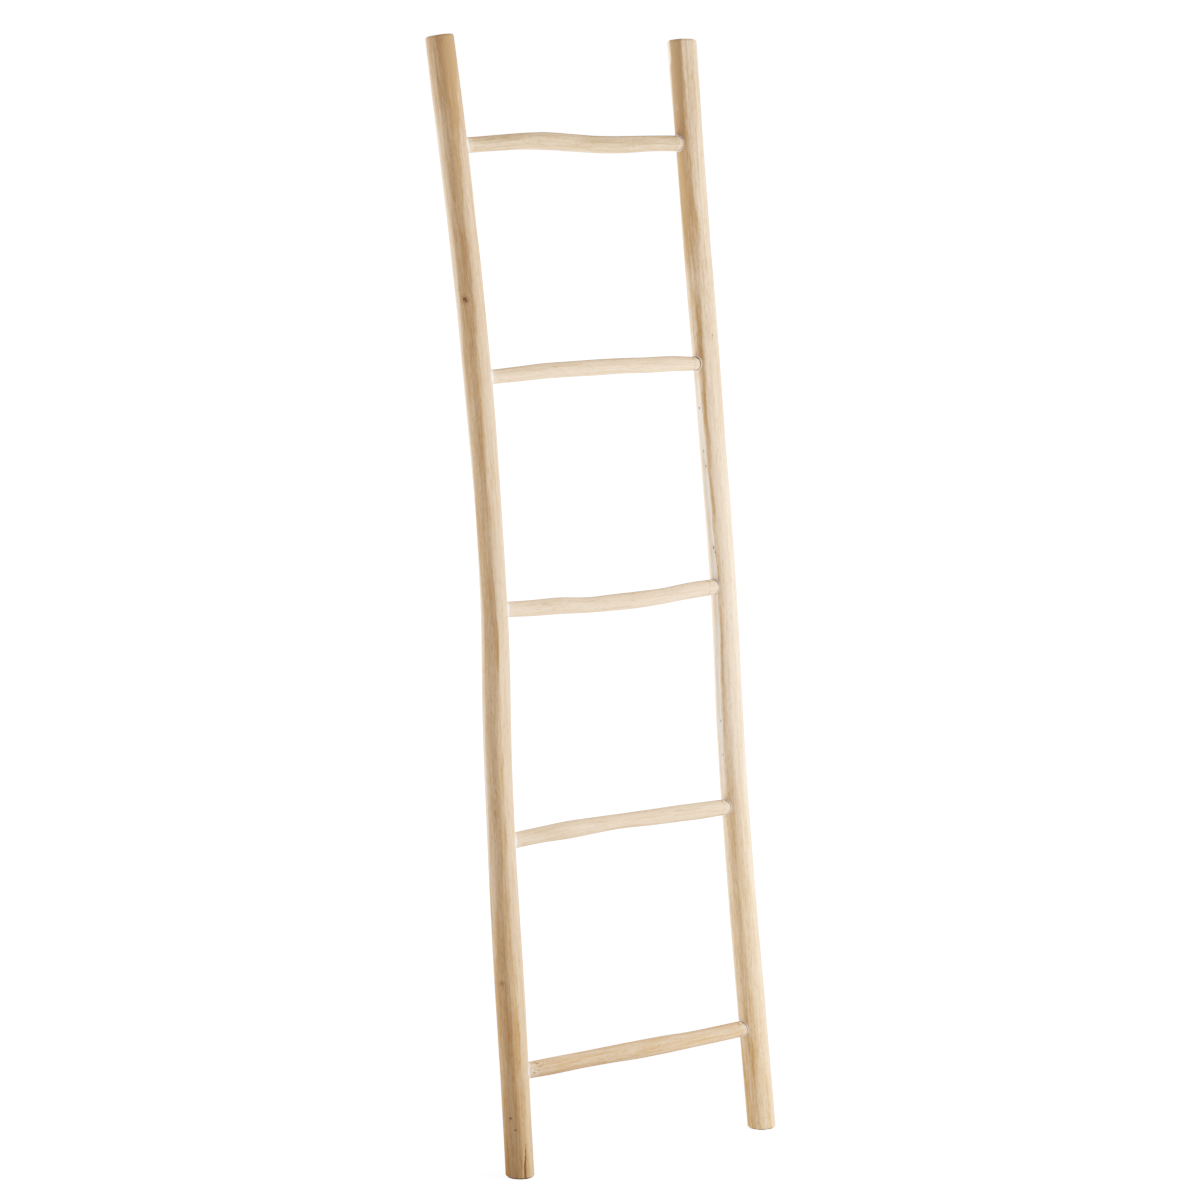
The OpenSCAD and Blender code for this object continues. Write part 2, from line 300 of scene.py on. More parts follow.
@dataclass(frozen=True)
class Mark:
    """One knot, pit, stain, gouge, crack or flute on a branch.

    Args:
        kind: What it is.
        place: Distance along the branch of its middle, in metres.
        angle: Angle round the branch, in degrees.
        size: Half its width, in metres.
        reach: Half its length along the branch, in metres. 0 makes it as long as wide.
        depth: How deep it goes in, in metres.
        stain: How strongly it shows, from 0 to 1.
        turn: How far its upper end is turned round the branch from its lower one, in degrees.
        bow: How far its middle is turned round the branch from its ends, in degrees.
    """

    kind: Kind
    place: float
    angle: float
    size: float
    reach: float
    depth: float
    stain: float
    turn: float = 0.0
    bow: float = 0.0

    @property
    def half(self) -> float:
        """Half the stretch of branch that needs close points, in metres."""
        return max(self.reach, 1.5 * self.size) + 2 * MM

    def across(self, place: Array, angle: Array, radius: float) -> tuple[Array, Array, Array]:
        """Distances of places on a branch from the mark's middle.

        Args:
            place: Distances along the branch.
            angle: Angles round it.
            radius: Its radius.

        Returns:
            The distances as shares of the mark's width, of its length, and of both together.
        """
        up = (place - self.place) / (self.reach or self.size)
        zigzag = 0.0
        if self.kind in (Kind.CRACK, Kind.FLUTE):
            wave = np.sin(7.3 * up + self.place * 90) + 0.5 * np.sin(17 * up + 2)
            zigzag = wave * ((0.1 if self.kind is Kind.CRACK else 0.12) * self.size)
        held = np.clip(up, -1, 1)
        middle = math.radians(self.angle) + held * math.radians(self.turn) / 2
        middle = middle + math.radians(self.bow) * np.cos(math.pi / 2 * held) ** 4
        arc = np.angle(np.exp(1j * (angle - middle))) * radius + zigzag
        if self.kind is Kind.FLUTE:
            arc = arc / (1 + 0.24 * np.sin(19 * up + 1) + 0.16 * np.sin(47 * up))
        side = arc / self.size
        return side, up, np.sqrt(side**2 + up**2)

    def relief(self, place: Array, angle: Array, radius: float) -> Array:
        """Height that the mark adds to the surface of a branch.

        Args:
            place: Distances along the branch.
            angle: Angles round it.
            radius: Its radius.

        Returns:
            The heights in metres, below 0 where the mark goes in.
        """
        side, up, away = self.across(place, angle, radius)
        if self.kind is Kind.KNOT:
            swell = 0.9 * dome(away, 1.9) - 0.5 * dome(away - 0.95, 0.35)
            return -self.depth * (dome(away, 0.5) - swell)
        if self.kind in (Kind.CRACK, Kind.GOUGE):
            ends = np.clip(1 - np.abs(up) ** 3, 0, 1)
            wide = np.maximum(0.25, ends) if self.kind is Kind.GOUGE else np.clip(0.6 - 0.52 * up, 0.08, 1)
            return -self.depth * ends * np.clip(1 - np.abs(side) / wide, 0, 1)
        if self.kind is Kind.FLUTE:
            return -self.depth * soft_step(1 - np.abs(up), 0.0, 0.12) * dome(side, 1.0)
        if self.kind is Kind.FIGURE:
            return np.zeros_like(away)
        return -self.depth * np.exp(-(away**2) * 1.4)

    def stains(self, place: Array, angle: Array, radius: float) -> tuple[Array, Array, Array]:
        """What the mark gives the surface of a branch.

        Args:
            place: Distances along the branch.
            angle: Angles round it.
            radius: Its radius.

        Returns:
            Shares of knot brown, of dark and of grey.
        """
        side, up, away = self.across(place, angle, radius)
        none, stain = np.zeros_like(away), self.stain
        if self.kind is Kind.KNOT:
            return 0.8 * (dome(away, 1.35) * stain), 0.72 * (dome(away, 0.9) * stain), none
        if self.kind is Kind.PIN_KNOT:
            return 0.7 * dome(away, 1.3) * stain, dome(away, 0.7) * stain, none
        if self.kind is Kind.STAIN:
            return dome(away, 1.0) * stain, none, none
        if self.kind is Kind.FLUTE:
            ends = soft_step(1 - np.abs(up), 0.0, 0.2)
            # The brown line along one side of the flute is painted shade on the ridge beside it.
            ridge_shade = 0.6 * dome(side - 1.2, 0.22) * ends
            grey = soft_step(1.15 - np.abs(side), 0.0, 0.4) * (0.82 + 0.18 * np.sin(31 * up + 2))
            return ridge_shade * stain, none, grey * ends * stain
        if self.kind in (Kind.CRACK, Kind.GOUGE):
            crack = self.kind is Kind.CRACK
            ends = np.clip(1 - np.abs(up) ** 4, 0, 1)
            wide = np.clip(0.68 - 0.55 * up, 0.12, 1) if crack else 0.8
            near = np.clip(1.25 - np.abs(side) / wide, 0, 1)
            inner = np.clip(1.1 - np.abs(side - 0.15) / (0.62 * wide), 0, 1) if crack else near
            low = np.clip(0.75 - 0.7 * up, 0.35, 1) if crack else 0.6
            return 0.95 * near * ends * stain, inner**1.5 * ends * low * stain, none
        if self.kind is Kind.FIGURE:
            return none, none, none
        return 0.55 * np.exp(-(away**2) / 3) * stain, dome(away, 1.0) * stain, none

    def rings(self, place: Array, angle: Array, radius: float) -> tuple[Array, Array]:
        """Count of growth lines out from the mark's middle, and how strongly they show."""
        _, _, away = self.across(place, angle, radius)
        if self.kind is Kind.KNOT:
            return 1.7 * away, self.stain * np.exp(-((away / 2.3) ** 4))
        if self.kind is Kind.FIGURE:
            return 4.0 * away, self.stain * np.exp(-((away / 1.15) ** 6)) * soft_step(away, 0.05, 0.3)
        return away, np.zeros_like(away)

    def bend(self, place: Array, angle: Array, radius: float) -> Array:
        """Angle by which the grain bows aside round a knot, in radians."""
        if self.kind is not Kind.KNOT:
            return np.zeros(np.broadcast(place, angle).shape)
        side, up, _ = self.across(place, angle, radius)
        return 0.75 * side * self.size / radius * np.exp(-(side**2 + up**2) / 3.2)


def marks_of(*rows: Sequence[Any]) -> tuple[Mark, ...]:
    """Marks from the rows of a table.

    Args:
        rows: Each as the fields of a Mark, with its size, reach and depth in millimetres.

    Returns:
        The marks.
    """
    return tuple(
        Mark(kind, place, angle, size * MM, reach * MM, depth * MM, *rest)
        for kind, place, angle, size, reach, depth, *rest in rows)


@dataclass(frozen=True)
class Band:
    """A long stretch of deeper or paler colour between two edges that wander round the branch; some bands are the
    wood's own colour, some hold painted shade.

    Args:
        low: Distance along the branch of its lower end, in metres.
        high: Distance along the branch of its upper end, in metres.
        first: Angles of its first edge at even steps from low to high, in degrees.
        second: Angles of its second edge, in degrees.
        tone: How much deeper it makes the wood, below 0 for paler.
        soft: How softly its two edges fade, in degrees.
        fade: How far its lower and upper ends take to fade, in metres.
    """

    low: float
    high: float
    first: tuple[float, ...]
    second: tuple[float, ...]
    tone: float
    soft: tuple[float, float]
    fade: tuple[float, float] = (0.05, 0.05)

    def depth(self, place: Array, angle: Array) -> Array:
        """Tone that it adds at places of the branch.

        Args:
            place: Distances along the branch.
            angle: Angles round it.

        Returns:
            The tones.
        """
        share = (place - self.low) / (self.high - self.low)
        sway = 2.2 * np.sin(place * 61 + self.low * 40) + 1.3 * np.sin(place * 147 + self.high * 90)
        first, second = (smooth_line(edge, share) + sway for edge in (self.first, self.second))
        middle = np.radians((first + second) / 2)
        from_middle = np.degrees(np.angle(np.exp(1j * (angle - middle))))
        half = (second - first) / 2
        inside = soft_step(from_middle + half, -self.soft[0] / 2, self.soft[0] / 2)
        inside = inside * soft_step(half - from_middle, -self.soft[1] / 2, self.soft[1] / 2)
        start, end = -0.1 * MM, self.high - place
        ends = soft_step(place - self.low, start, self.fade[0]) * soft_step(end, start, self.fade[1])
        return self.tone * inside * ends


class MeshMaker:
    """Turns arrays of points into meshes, and cuts and finishes them."""

    @staticmethod
    def made(name: str, points: list[Any], faces: list[Any]) -> Mesh:
        """A mesh of points and faces."""
        mesh = bpy.data.meshes.new(name)
        mesh.from_pydata(points, [], faces)
        mesh.update()
        return mesh

    @staticmethod
    def sewn(name: str, rings: Array, tips: Optional[Sequence[Array]] = None) -> Mesh:
        """Skin over rings that run upwards, closed by tip points or sewn into a loop.

        Args:
            name: Name of the mesh.
            rings: Points as rings, sides, 3, turning from X to Y.
            tips: Points that close the lowest and the highest ring.

        Returns:
            The closed mesh.
        """
        count, sides = rings.shape[:2]
        points = rings.reshape(-1, 3)
        steps = count - 1 if tips else count
        ring, side = np.meshgrid(np.arange(steps), np.arange(sides), indexing="ij")
        above, beside = (ring + 1) % count, (side + 1) % sides
        corners = [ring * sides + side, ring * sides + beside, above * sides + beside, above * sides + side]
        faces = np.stack(corners, -1).reshape(-1, 4).tolist()
        if tips:
            tip, top = len(points), (count - 1) * sides
            points = np.concatenate([points, np.array(tips)])
            faces += [[tip, (k + 1) % sides, k] for k in range(sides)]
            faces += [[tip + 1, top + k, top + (k + 1) % sides] for k in range(sides)]
        return MeshMaker.made(name, points.tolist(), faces)

    @staticmethod
    def rods(name: str, rods: Iterable[tuple[Array, Array, float]], sides: int) -> Mesh:
        """Several closed cylinders in one mesh.

        Args:
            name: Name of the mesh.
            rods: Each as (start point, end point, diameter).
            sides: Sides of each cylinder.

        Returns:
            The mesh.
        """
        points: list[list[float]] = []
        faces: list[list[int]] = []
        turn = ring_angles(sides)
        for start, end, width in rods:
            axis = (end - start) / np.linalg.norm(end - start)
            helper = np.array([0.0, 0.0, 1.0]) if abs(axis[2]) < 0.9 else np.array([1.0, 0.0, 0.0])
            u = np.cross(helper, axis)
            u /= np.linalg.norm(u)
            v = np.cross(axis, u)
            circle = np.cos(turn)[:, None] * u + np.sin(turn)[:, None] * v
            base = len(points)
            points += (start + circle * width / 2).tolist() + (end + circle * width / 2).tolist()
            for k in range(sides):
                n = (k + 1) % sides
                faces.append([base + k, base + n, base + sides + n, base + sides + k])
            faces.append([base + k for k in reversed(range(sides))])
            faces.append([base + sides + k for k in range(sides)])
        return MeshMaker.made(name, points, faces)

    @staticmethod
    def cut(mesh: Mesh, cutter: Mesh) -> Mesh:
        """Takes one closed mesh out of another.

        Args:
            mesh: What is cut.
            cutter: What is taken away.

        Returns:
            A new mesh. The two others are removed.
        """
        whole, tool = in_scene("uncut", mesh), in_scene("cutter", cutter)
        step = whole.modifiers.new("cut", "BOOLEAN")
        step.operation, step.solver, step.object = "DIFFERENCE", "MANIFOLD", tool
        graph = bpy.context.evaluated_depsgraph_get()
        made = bpy.data.meshes.new_from_object(whole.evaluated_get(graph), depsgraph=graph)
        made.name = mesh.name.split(".")[0]
        made.materials.clear()
        for item, data in ((whole, mesh), (tool, cutter)):
            bpy.data.objects.remove(item)
            bpy.data.meshes.remove(data)
        return made

    @staticmethod
    def points_of(mesh: Mesh) -> Array:
        """All points of a mesh."""
        found = np.empty(len(mesh.vertices) * 3, np.float32)
        mesh.vertices.foreach_get("co", found)
        return found.reshape(-1, 3).astype(float)

    @staticmethod
    def face_out(mesh: Mesh) -> None:
        """Turns all faces outwards by the sign of the mesh's volume."""
        points = MeshMaker.points_of(mesh)
        points = points - points.mean(0)
        volume = 0.0
        for face in mesh.polygons:
            corners = points[list(face.vertices)]
            for k in range(1, len(corners) - 1):
                volume += float(np.dot(corners[0], np.cross(corners[k], corners[k + 1])))
        if volume < 0:
            mesh.flip_normals()

    @staticmethod
    def note(
            mesh: Mesh, place: Array, marks: Any = 0.0, tone: Any = 0.0, rings: Any = 0.0,
            warmth: Any = 0.0) -> None:
        """Writes the branch's own coordinates and its marks on the points.

        Args:
            mesh: The mesh.
            place: Places across and along the branch, 3 columns in metres.
            marks: Shares of knot brown, dark, grey and filler, as 4 columns.
            tone: How deep the colour is, from 0 to 1; on the wood it holds painted shade in places, and on the filler
                it is painted shade.
            rings: Count and strength of growth lines round knots, as 2 columns.
            warmth: How orange the deep wood is, from 0 to 1.
        """
        count = len(place)
        lines = np.zeros((count, 3))
        lines[:, :2], lines[:, 2] = rings, warmth
        for name, kind, field_name, values, width in (
                (TONE, "FLOAT", "value", tone, 1), (RINGS, "FLOAT_VECTOR", "vector", lines, 3),
                (PLACE, "FLOAT_VECTOR", "vector", place, 3), (MARKS, "FLOAT_COLOR", "color", marks, 4)):
            shape = count if width == 1 else (count, width)
            plain = np.array(np.broadcast_to(values, shape), np.float32).ravel()
            mesh.attributes.new(name, kind, "POINT").data.foreach_set(field_name, plain)

    @staticmethod
    def smooth(mesh: Mesh, sharp_degrees: float) -> None:
        """Shades a mesh smooth, apart from edges that turn by more than an angle."""
        mesh.shade_smooth()
        mesh.set_sharp_from_angle(angle=math.radians(sharp_degrees))

    @staticmethod
    def place(mesh: Mesh, materials: Sequence[Material], slot: str, *nodes: str) -> None:
        """Puts a mesh on the ladder in the stead of nodes of the frame.

        Args:
            mesh: The mesh, in the frame's place.
            materials: Its materials in the order of its faces' indices.
            slot: Not used.
            nodes: The frame's nodes that it stands for.
        """
        piece = in_scene(mesh.name, mesh)
        for material in materials:
            mesh.materials.append(material)
        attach(piece, BODY)
        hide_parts(*nodes)
        log.info(
            "%s: %d points, %d faces, stands for %s", piece.name, len(mesh.vertices), len(mesh.polygons), nodes)


class NodeBoard:
    """Lays nodes in one tree and joins them."""

    def __init__(self, tree: NodeTree) -> None:
        """Starts on a tree, which keeps its nodes."""
        self.tree = tree

    def node(self, kind: str, *values: Any, **settings: Any) -> Node:
        """Adds a node.

        Args:
            kind: Its kind, such as TexNoise.
            values: Values or sockets for its first inputs.
            settings: Its settings by name.

        Returns:
            The node.
        """
        made = self.tree.nodes.new("ShaderNode" + kind)
        for name, value in settings.items():
            setattr(made, name, value)
        for socket, value in zip(made.inputs, values):
            self.feed(socket, value)
        return made

    def feed(self, socket: NodeSocket, value: Any) -> None:
        """Sets a socket to a value, or joins it to another socket."""
        if isinstance(value, NodeSocket):
            self.tree.links.new(value, socket)
        else:
            socket.default_value = value

    def feeds(self, node: Node, values: dict[str, Any]) -> None:
        """Sets inputs of a node by name, or joins them."""
        for name, value in values.items():
            self.feed(node.inputs[name], value)

    def math(self, operation: str, *values: Any, clamp: bool = False) -> NodeSocket:
        """Result of a Math node."""
        return self.node("Math", *values, operation=operation, use_clamp=clamp).outputs[0]

    def times(self, a: Any, b: Any) -> NodeSocket:
        """Product of two values."""
        return self.math("MULTIPLY", a, b)

    def plus(self, a: Any, b: Any) -> NodeSocket:
        """Sum of two values."""
        return self.math("ADD", a, b)

    def minus(self, a: Any, b: Any) -> NodeSocket:
        """Difference of two values."""
        return self.math("SUBTRACT", a, b)

    def span(self, value: Any, low: float, high: float, to_low: float = 0.0, to_high: float = 1.0) -> NodeSocket:
        """Value moved smoothly from one span to another, and held at its ends."""
        made = self.node("MapRange", interpolation_type="SMOOTHSTEP")
        self.feeds(made, {"Value": value, "From Min": low, "From Max": high, "To Min": to_low, "To Max": to_high})
        return made.outputs["Result"]

    def blend(self, share: Any, a: Any, b: Any) -> NodeSocket:
        """Colour between a and b."""
        made = self.node("Mix", share, data_type="RGBA", clamp_factor=True)
        for socket, value in ((made.inputs[6], a), (made.inputs[7], b)):
            self.feed(socket, value if isinstance(value, NodeSocket) else (*value, 1.0))
        return made.outputs[2]

    def vector(self, operation: str, *values: Any) -> NodeSocket:
        """Vector that a Vector Math node gives."""
        return self.node("VectorMath", *values, operation=operation).outputs["Vector"]

    def noise(
            self, place: Any, grains: Colour, detail: float = 2.0, rough: float = 0.5, bend: float = 0.0,
            scale: Any = 1.0, shift: Any = None) -> NodeSocket:
        """Noise over a place.

        Args:
            place: The place, as a socket.
            grains: How many grains there are to the metre along each axis.
            detail: How many finer layers are added.
            rough: How strong these are.
            bend: How far the grains are bent.
            scale: Factor for the grains.
            shift: Moves the grains.

        Returns:
            Values from 0 to 1.
        """
        made = self.node("TexNoise")
        spread = self.vector("MULTIPLY", place, grains)
        if shift is not None:
            spread = self.vector("ADD", spread, shift)
        self.feeds(made, {
            "Vector": spread, "Scale": scale, "Detail": detail, "Roughness": rough, "Distortion": bend})
        return made.outputs["Fac"]

    def noted(self, name: str, output: str) -> NodeSocket:
        """Values that are noted on the mesh under a name."""
        return self.node("Attribute", attribute_name=name).outputs[output]

    def bump(self, shader: Node, height: Any, strength: float, depth: float) -> None:
        """Gives a shader fine relief.

        Args:
            shader: The shader.
            height: Heights from about 0 to 1.
            strength: How strongly it shows.
            depth: What a height of 1 is, in metres.
        """
        made = self.node("Bump")
        self.feeds(made, {"Strength": strength, "Distance": depth, "Height": height})
        self.feed(shader.inputs["Normal"], made.outputs["Normal"])


class EffectGroup:
    """A shader node group with named inputs and outputs that several finishes place."""

    name = "effect"
    inputs: dict[str, tuple[str, Any]] = {}

    def __init__(self) -> None:
        """Builds the group once."""
        self.tree = bpy.data.node_groups.new(self.name, "ShaderNodeTree")
        for label, (kind, start) in self.inputs.items():
            socket = self.socket(label, "INPUT", kind)
            if start is not None:
                socket.default_value = start
        board = NodeBoard(self.tree)
        made = self.build(board, self.tree.nodes.new("NodeGroupInput").outputs)
        for label in made:
            self.socket(label, "OUTPUT", "Color" if label == "Colour" else "Float")
        board.feeds(self.tree.nodes.new("NodeGroupOutput"), made)

    def socket(self, label: str, way: str, kind: str) -> Any:
        """Adds a socket to the group."""
        return self.tree.interface.new_socket(name=label, in_out=way, socket_type="NodeSocket" + kind)

    def build(self, board: NodeBoard, get: Any) -> dict[str, NodeSocket]:
        """Lays the group's nodes.

        Args:
            board: Board on the group's tree.
            get: The group's input sockets by name.

        Returns:
            The socket for each output.
        """
        raise NotImplementedError

    def put(self, board: NodeBoard, **values: Any) -> dict[str, NodeSocket]:
        """Places the group in a material.

        Args:
            board: Board on the material's tree.
            values: Input values or sockets, with underscores for spaces.

        Returns:
            The placed group's output sockets by name.
        """
        made = board.node("Group", node_tree=self.tree)
        board.feeds(made, {label.replace("_", " ").title(): value for label, value in values.items()})
        return {socket.name: socket for socket in made.outputs}


class BranchGrain(EffectGroup):
    """Streaks that run along a peeled branch, from broad bands down to fibres."""

    name = "Branch grain"
    inputs = {"Place": ("Vector", None), "Fineness": ("Float", 1.0), "Shift": ("Vector", (0.0, 0.0, 0.0))}
    layers = {
        "Bands": ((62.0, 62.0, 1.4), 2.0, 0.55, 0.3, 0.33, 0.67),
        "Streaks": ((190.0, 190.0, 6.0), 3.0, 0.6, 0.2, 0.34, 0.66),
        "Lines": ((400.0, 400.0, 12.0), 1.5, 0.55, 0.0, 0.35, 0.65),
        "Mottle": ((380.0, 380.0, 110.0), 3.0, 0.7, 0.0, 0.36, 0.64),
        "Fibres": ((1100.0, 1100.0, 34.0), 2.0, 0.6, 0.0, 0.3, 0.7),
        "Flecks": ((620.0, 620.0, 80.0), 1.0, 0.5, 0.0, 0.58, 0.74),
    }

    def build(self, board: NodeBoard, get: Any) -> dict[str, NodeSocket]:
        """Lays noise at six sizes, each drawn out along the branch."""
        place, shift = get["Place"], get["Shift"]
        sway = board.noise(place, (18.0, 18.0, 5.0), shift=shift)
        amount = board.times(board.minus(sway, 0.5), 0.006)
        push = board.node("CombineXYZ", amount, board.times(amount, -0.8)).outputs[0]
        swayed = board.vector("ADD", place, push)
        made = {}
        for name, (grains, detail, rough, bend, low, high) in self.layers.items():
            layer = board.noise(swayed, grains, detail, rough, bend, get["Fineness"], shift)
            made[name] = board.span(layer, low, high)
        return made


class StainLayer(EffectGroup):
    """Knots, dark spots, lines of painted shade, grey weathering and smeared filler laid over a wood colour."""

    name = "Knots and stains"
    inputs = {
        "Wood": ("Color", (0.6, 0.45, 0.3, 1.0)),
        "Marks": ("Color", (0.0, 0.0, 0.0, 1.0)),
        "Filler": ("Float", 0.0),
        "Place": ("Vector", None),
        "Knot Colour": ("Color", (0.30, 0.135, 0.045, 1.0)),
        "Dark Colour": ("Color", (0.085, 0.042, 0.018, 1.0)),
        "Grey Colour": ("Color", (0.84, 0.77, 0.66, 1.0)),
        "Filler Colour": ("Color", (0.92, 0.90, 0.86, 1.0)),
    }

    def build(self, board: NodeBoard, get: Any) -> dict[str, NodeSocket]:
        """Breaks the edges of each mark with fine noise before it is laid on."""
        place = get["Place"]
        grain = board.minus(board.noise(place, (700.0, 700.0, 170.0), 3.0, 0.65), 0.5)
        patch = board.minus(board.noise(place, (260.0, 260.0, 260.0), 3.0, 0.6), 0.5)
        specks = board.minus(board.noise(place, (520.0, 520.0, 330.0), 3.0, 0.7, 0.6), 0.5)
        brown, dark, grey = board.node("SeparateColor", get["Marks"]).outputs
        colour, masks = get["Wood"], {}
        for name, share, rag, amount, low, high, strength in (
                ("Grey", grey, grain, 0.7, 0.15, 0.8, 0.75), ("Knot", brown, grain, 0.55, 0.12, 0.85, 0.62),
                ("Dark", dark, specks, 1.25, 0.42, 0.72, 0.88),
                ("Filler", get["Filler"], patch, 1.3, 0.42, 0.62, 0.85)):
            ragged = board.span(board.plus(share, board.times(rag, amount)), low, high)
            masks[name] = board.times(ragged, board.span(share, 0.01, 0.1))
            colour = board.blend(board.times(masks[name], strength), colour, get[name + " Colour"])
        return {
            "Colour": colour,
            "Rough": board.plus(board.times(masks["Grey"], 0.12), board.times(masks["Filler"], 0.15)),
            "Height": board.minus(board.times(masks["Filler"], 0.6), board.times(masks["Dark"], 0.8)),
        }


class GrowthRings(EffectGroup):
    """Rings, rays and pith of a branch cut across."""

    name = "Growth rings"
    inputs = {"Place": ("Vector", None), "Ring Width": ("Float", 0.0022)}

    def build(self, board: NodeBoard, get: Any) -> dict[str, NodeSocket]:
        """Lays rings by the distance from the branch's middle, pushed about by noise."""
        place = get["Place"]
        push = board.noise(place, (60.0, 60.0, 8.0), 2.0)
        across, deep, _ = board.node("SeparateXYZ", place).outputs
        x, y = board.plus(across, board.times(push, 0.004)), board.minus(deep, board.times(push, 0.003))
        away = board.math("SQRT", board.plus(board.times(x, x), board.times(y, y)))
        wave = board.math("FRACT", board.math("DIVIDE", away, get["Ring Width"]))
        rays = board.noise(place, (30.0, 30.0, 0.0), 1.0)
        spokes = board.plus(board.times(board.math("ARCTAN2", y, x), 47.0), board.times(rays, 14.0))
        return {
            "Rings": board.times(board.span(wave, 0.25, 0.95), board.span(wave, 1.0, 0.93)),
            "Rays": board.span(board.math("SINE", spokes), 0.55, 1.0),
            "Pith": board.span(away, 0.0022, 0.0010),
        }


@dataclass
class Effects:
    """The groups that the finishes share."""

    grain: BranchGrain = field(default_factory=BranchGrain)
    stains: StainLayer = field(default_factory=StainLayer)
    rings: GrowthRings = field(default_factory=GrowthRings)


def new_material(name: str, gloss: float = 0.5) -> tuple[Material, NodeBoard, Node]:
    """A material with an empty Principled shader.

    Args:
        name: Name of the material.
        gloss: Strength of its reflections.

    Returns:
        The material, a board on its nodes, and its shader.
    """
    material = bpy.data.materials.new(name)
    material.use_nodes = True
    shader = material.node_tree.nodes["Principled BSDF"]
    shader.inputs["Specular IOR Level"].default_value = gloss
    return material, NodeBoard(material.node_tree), shader


@dataclass(frozen=True)
class BranchFinish:
    """Peeled, sanded branch wood without oil, pale where it is bleached and deep where it isn't, and deeper still where
    its bands paint shade.
    """

    name: str
    pale: Colour
    deep: Colour
    warm: Colour
    shift: Colour
    fleck: Colour = (0.30, 0.175, 0.08)
    bands: float = 0.14
    streaks: float = 0.24
    lines: float = 0.26
    mottle: float = 0.2
    fibres: float = 0.2
    growth: float = 0.3
    rough: float = 0.57
    fineness: float = 1.0
    gloss: float = 0.12
    honey: Colour = (1.04, 0.985, 0.895)

    def make(self, effects: Effects) -> Material:
        """Builds the finish.

        Args:
            effects: The shared groups.

        Returns:
            The material.
        """
        material, board, shader = new_material(self.name, self.gloss)
        place = board.noted(PLACE, "Vector")
        grain = effects.grain.put(board, place=place, fineness=self.fineness, shift=self.shift)
        depth = board.noted(TONE, "Fac")
        for layer in ("Bands", "Streaks", "Lines", "Mottle", "Fibres"):
            swing = board.times(board.minus(grain[layer], 0.5), getattr(self, layer.lower()))
            depth = board.plus(depth, swing)
        count, strength, warmth = board.node("SeparateXYZ", board.noted(RINGS, "Vector")).outputs
        shaken = board.plus(count, board.times(grain["Fibres"], 0.7))
        wave = board.math("SINE", board.times(shaken, math.tau))
        depth = board.plus(depth, board.times(board.times(wave, strength), self.growth))
        deep = board.blend(warmth, self.deep, self.warm)
        honeyed = tuple(part * tint for part, tint in zip(self.pale, self.honey))
        pale = board.blend(board.span(warmth, 0.65, 1.05), self.pale, honeyed)
        wood = board.blend(board.math("MAXIMUM", depth, 0.0, clamp=True), pale, deep)
        wood = board.blend(board.times(grain["Flecks"], 0.4), wood, self.fleck)
        stained = effects.stains.put(
            board, wood=wood, marks=board.noted(MARKS, "Color"), filler=board.noted(MARKS, "Alpha"), place=place)
        board.feed(shader.inputs["Base Color"], stained["Colour"])
        rough = board.plus(board.times(grain["Lines"], 0.1), self.rough)
        board.feed(shader.inputs["Roughness"], board.math("ADD", rough, stained["Rough"], clamp=True))
        height = board.plus(board.times(grain["Fibres"], 0.35), board.times(grain["Lines"], -0.25))
        height = board.plus(height, board.times(grain["Flecks"], -0.3))
        board.bump(shader, board.plus(height, stained["Height"]), 0.6, 0.3 * MM)
        return material


@dataclass(frozen=True)
class EndGrainFinish:
    """Branch wood sawn across, with rings, rays and a small pith."""

    name: str = "sawn_end"
    pale: Colour = (0.62, 0.47, 0.31)
    tan: Colour = (0.48, 0.33, 0.19)
    brown: Colour = (0.30, 0.18, 0.09)

    def make(self, effects: Effects) -> Material:
        """Builds the finish.

        Args:
            effects: The shared groups.

        Returns:
            The material.
        """
        material, board, shader = new_material(self.name)
        place = board.noted(PLACE, "Vector")
        rings = effects.rings.put(board, place=place)
        pores = board.noise(place, (1500.0, 1500.0, 1500.0), 2.0, 0.6)
        wood = board.blend(board.times(rings["Rings"], 0.6), self.pale, self.tan)
        wood = board.blend(board.times(rings["Rays"], 0.25), wood, self.brown)
        wood = board.blend(board.span(pores, 0.6, 0.75, 0.0, 0.35), wood, self.brown)
        wood = board.blend(board.times(rings["Pith"], 0.8), wood, self.brown)
        stained = effects.stains.put(
            board, wood=wood, marks=board.noted(MARKS, "Color"), filler=0.0, place=place)
        board.feed(shader.inputs["Base Color"], stained["Colour"])
        board.feed(shader.inputs["Roughness"], board.span(pores, 0.3, 0.7, 0.68, 0.82))
        saw = board.noise(place, (140.0, 1900.0, 1900.0), 1.0)
        height = board.plus(board.times(saw, 0.6), board.times(rings["Rings"], 0.3))
        board.bump(shader, board.plus(height, stained["Height"]), 0.6, 0.2 * MM)
        return material


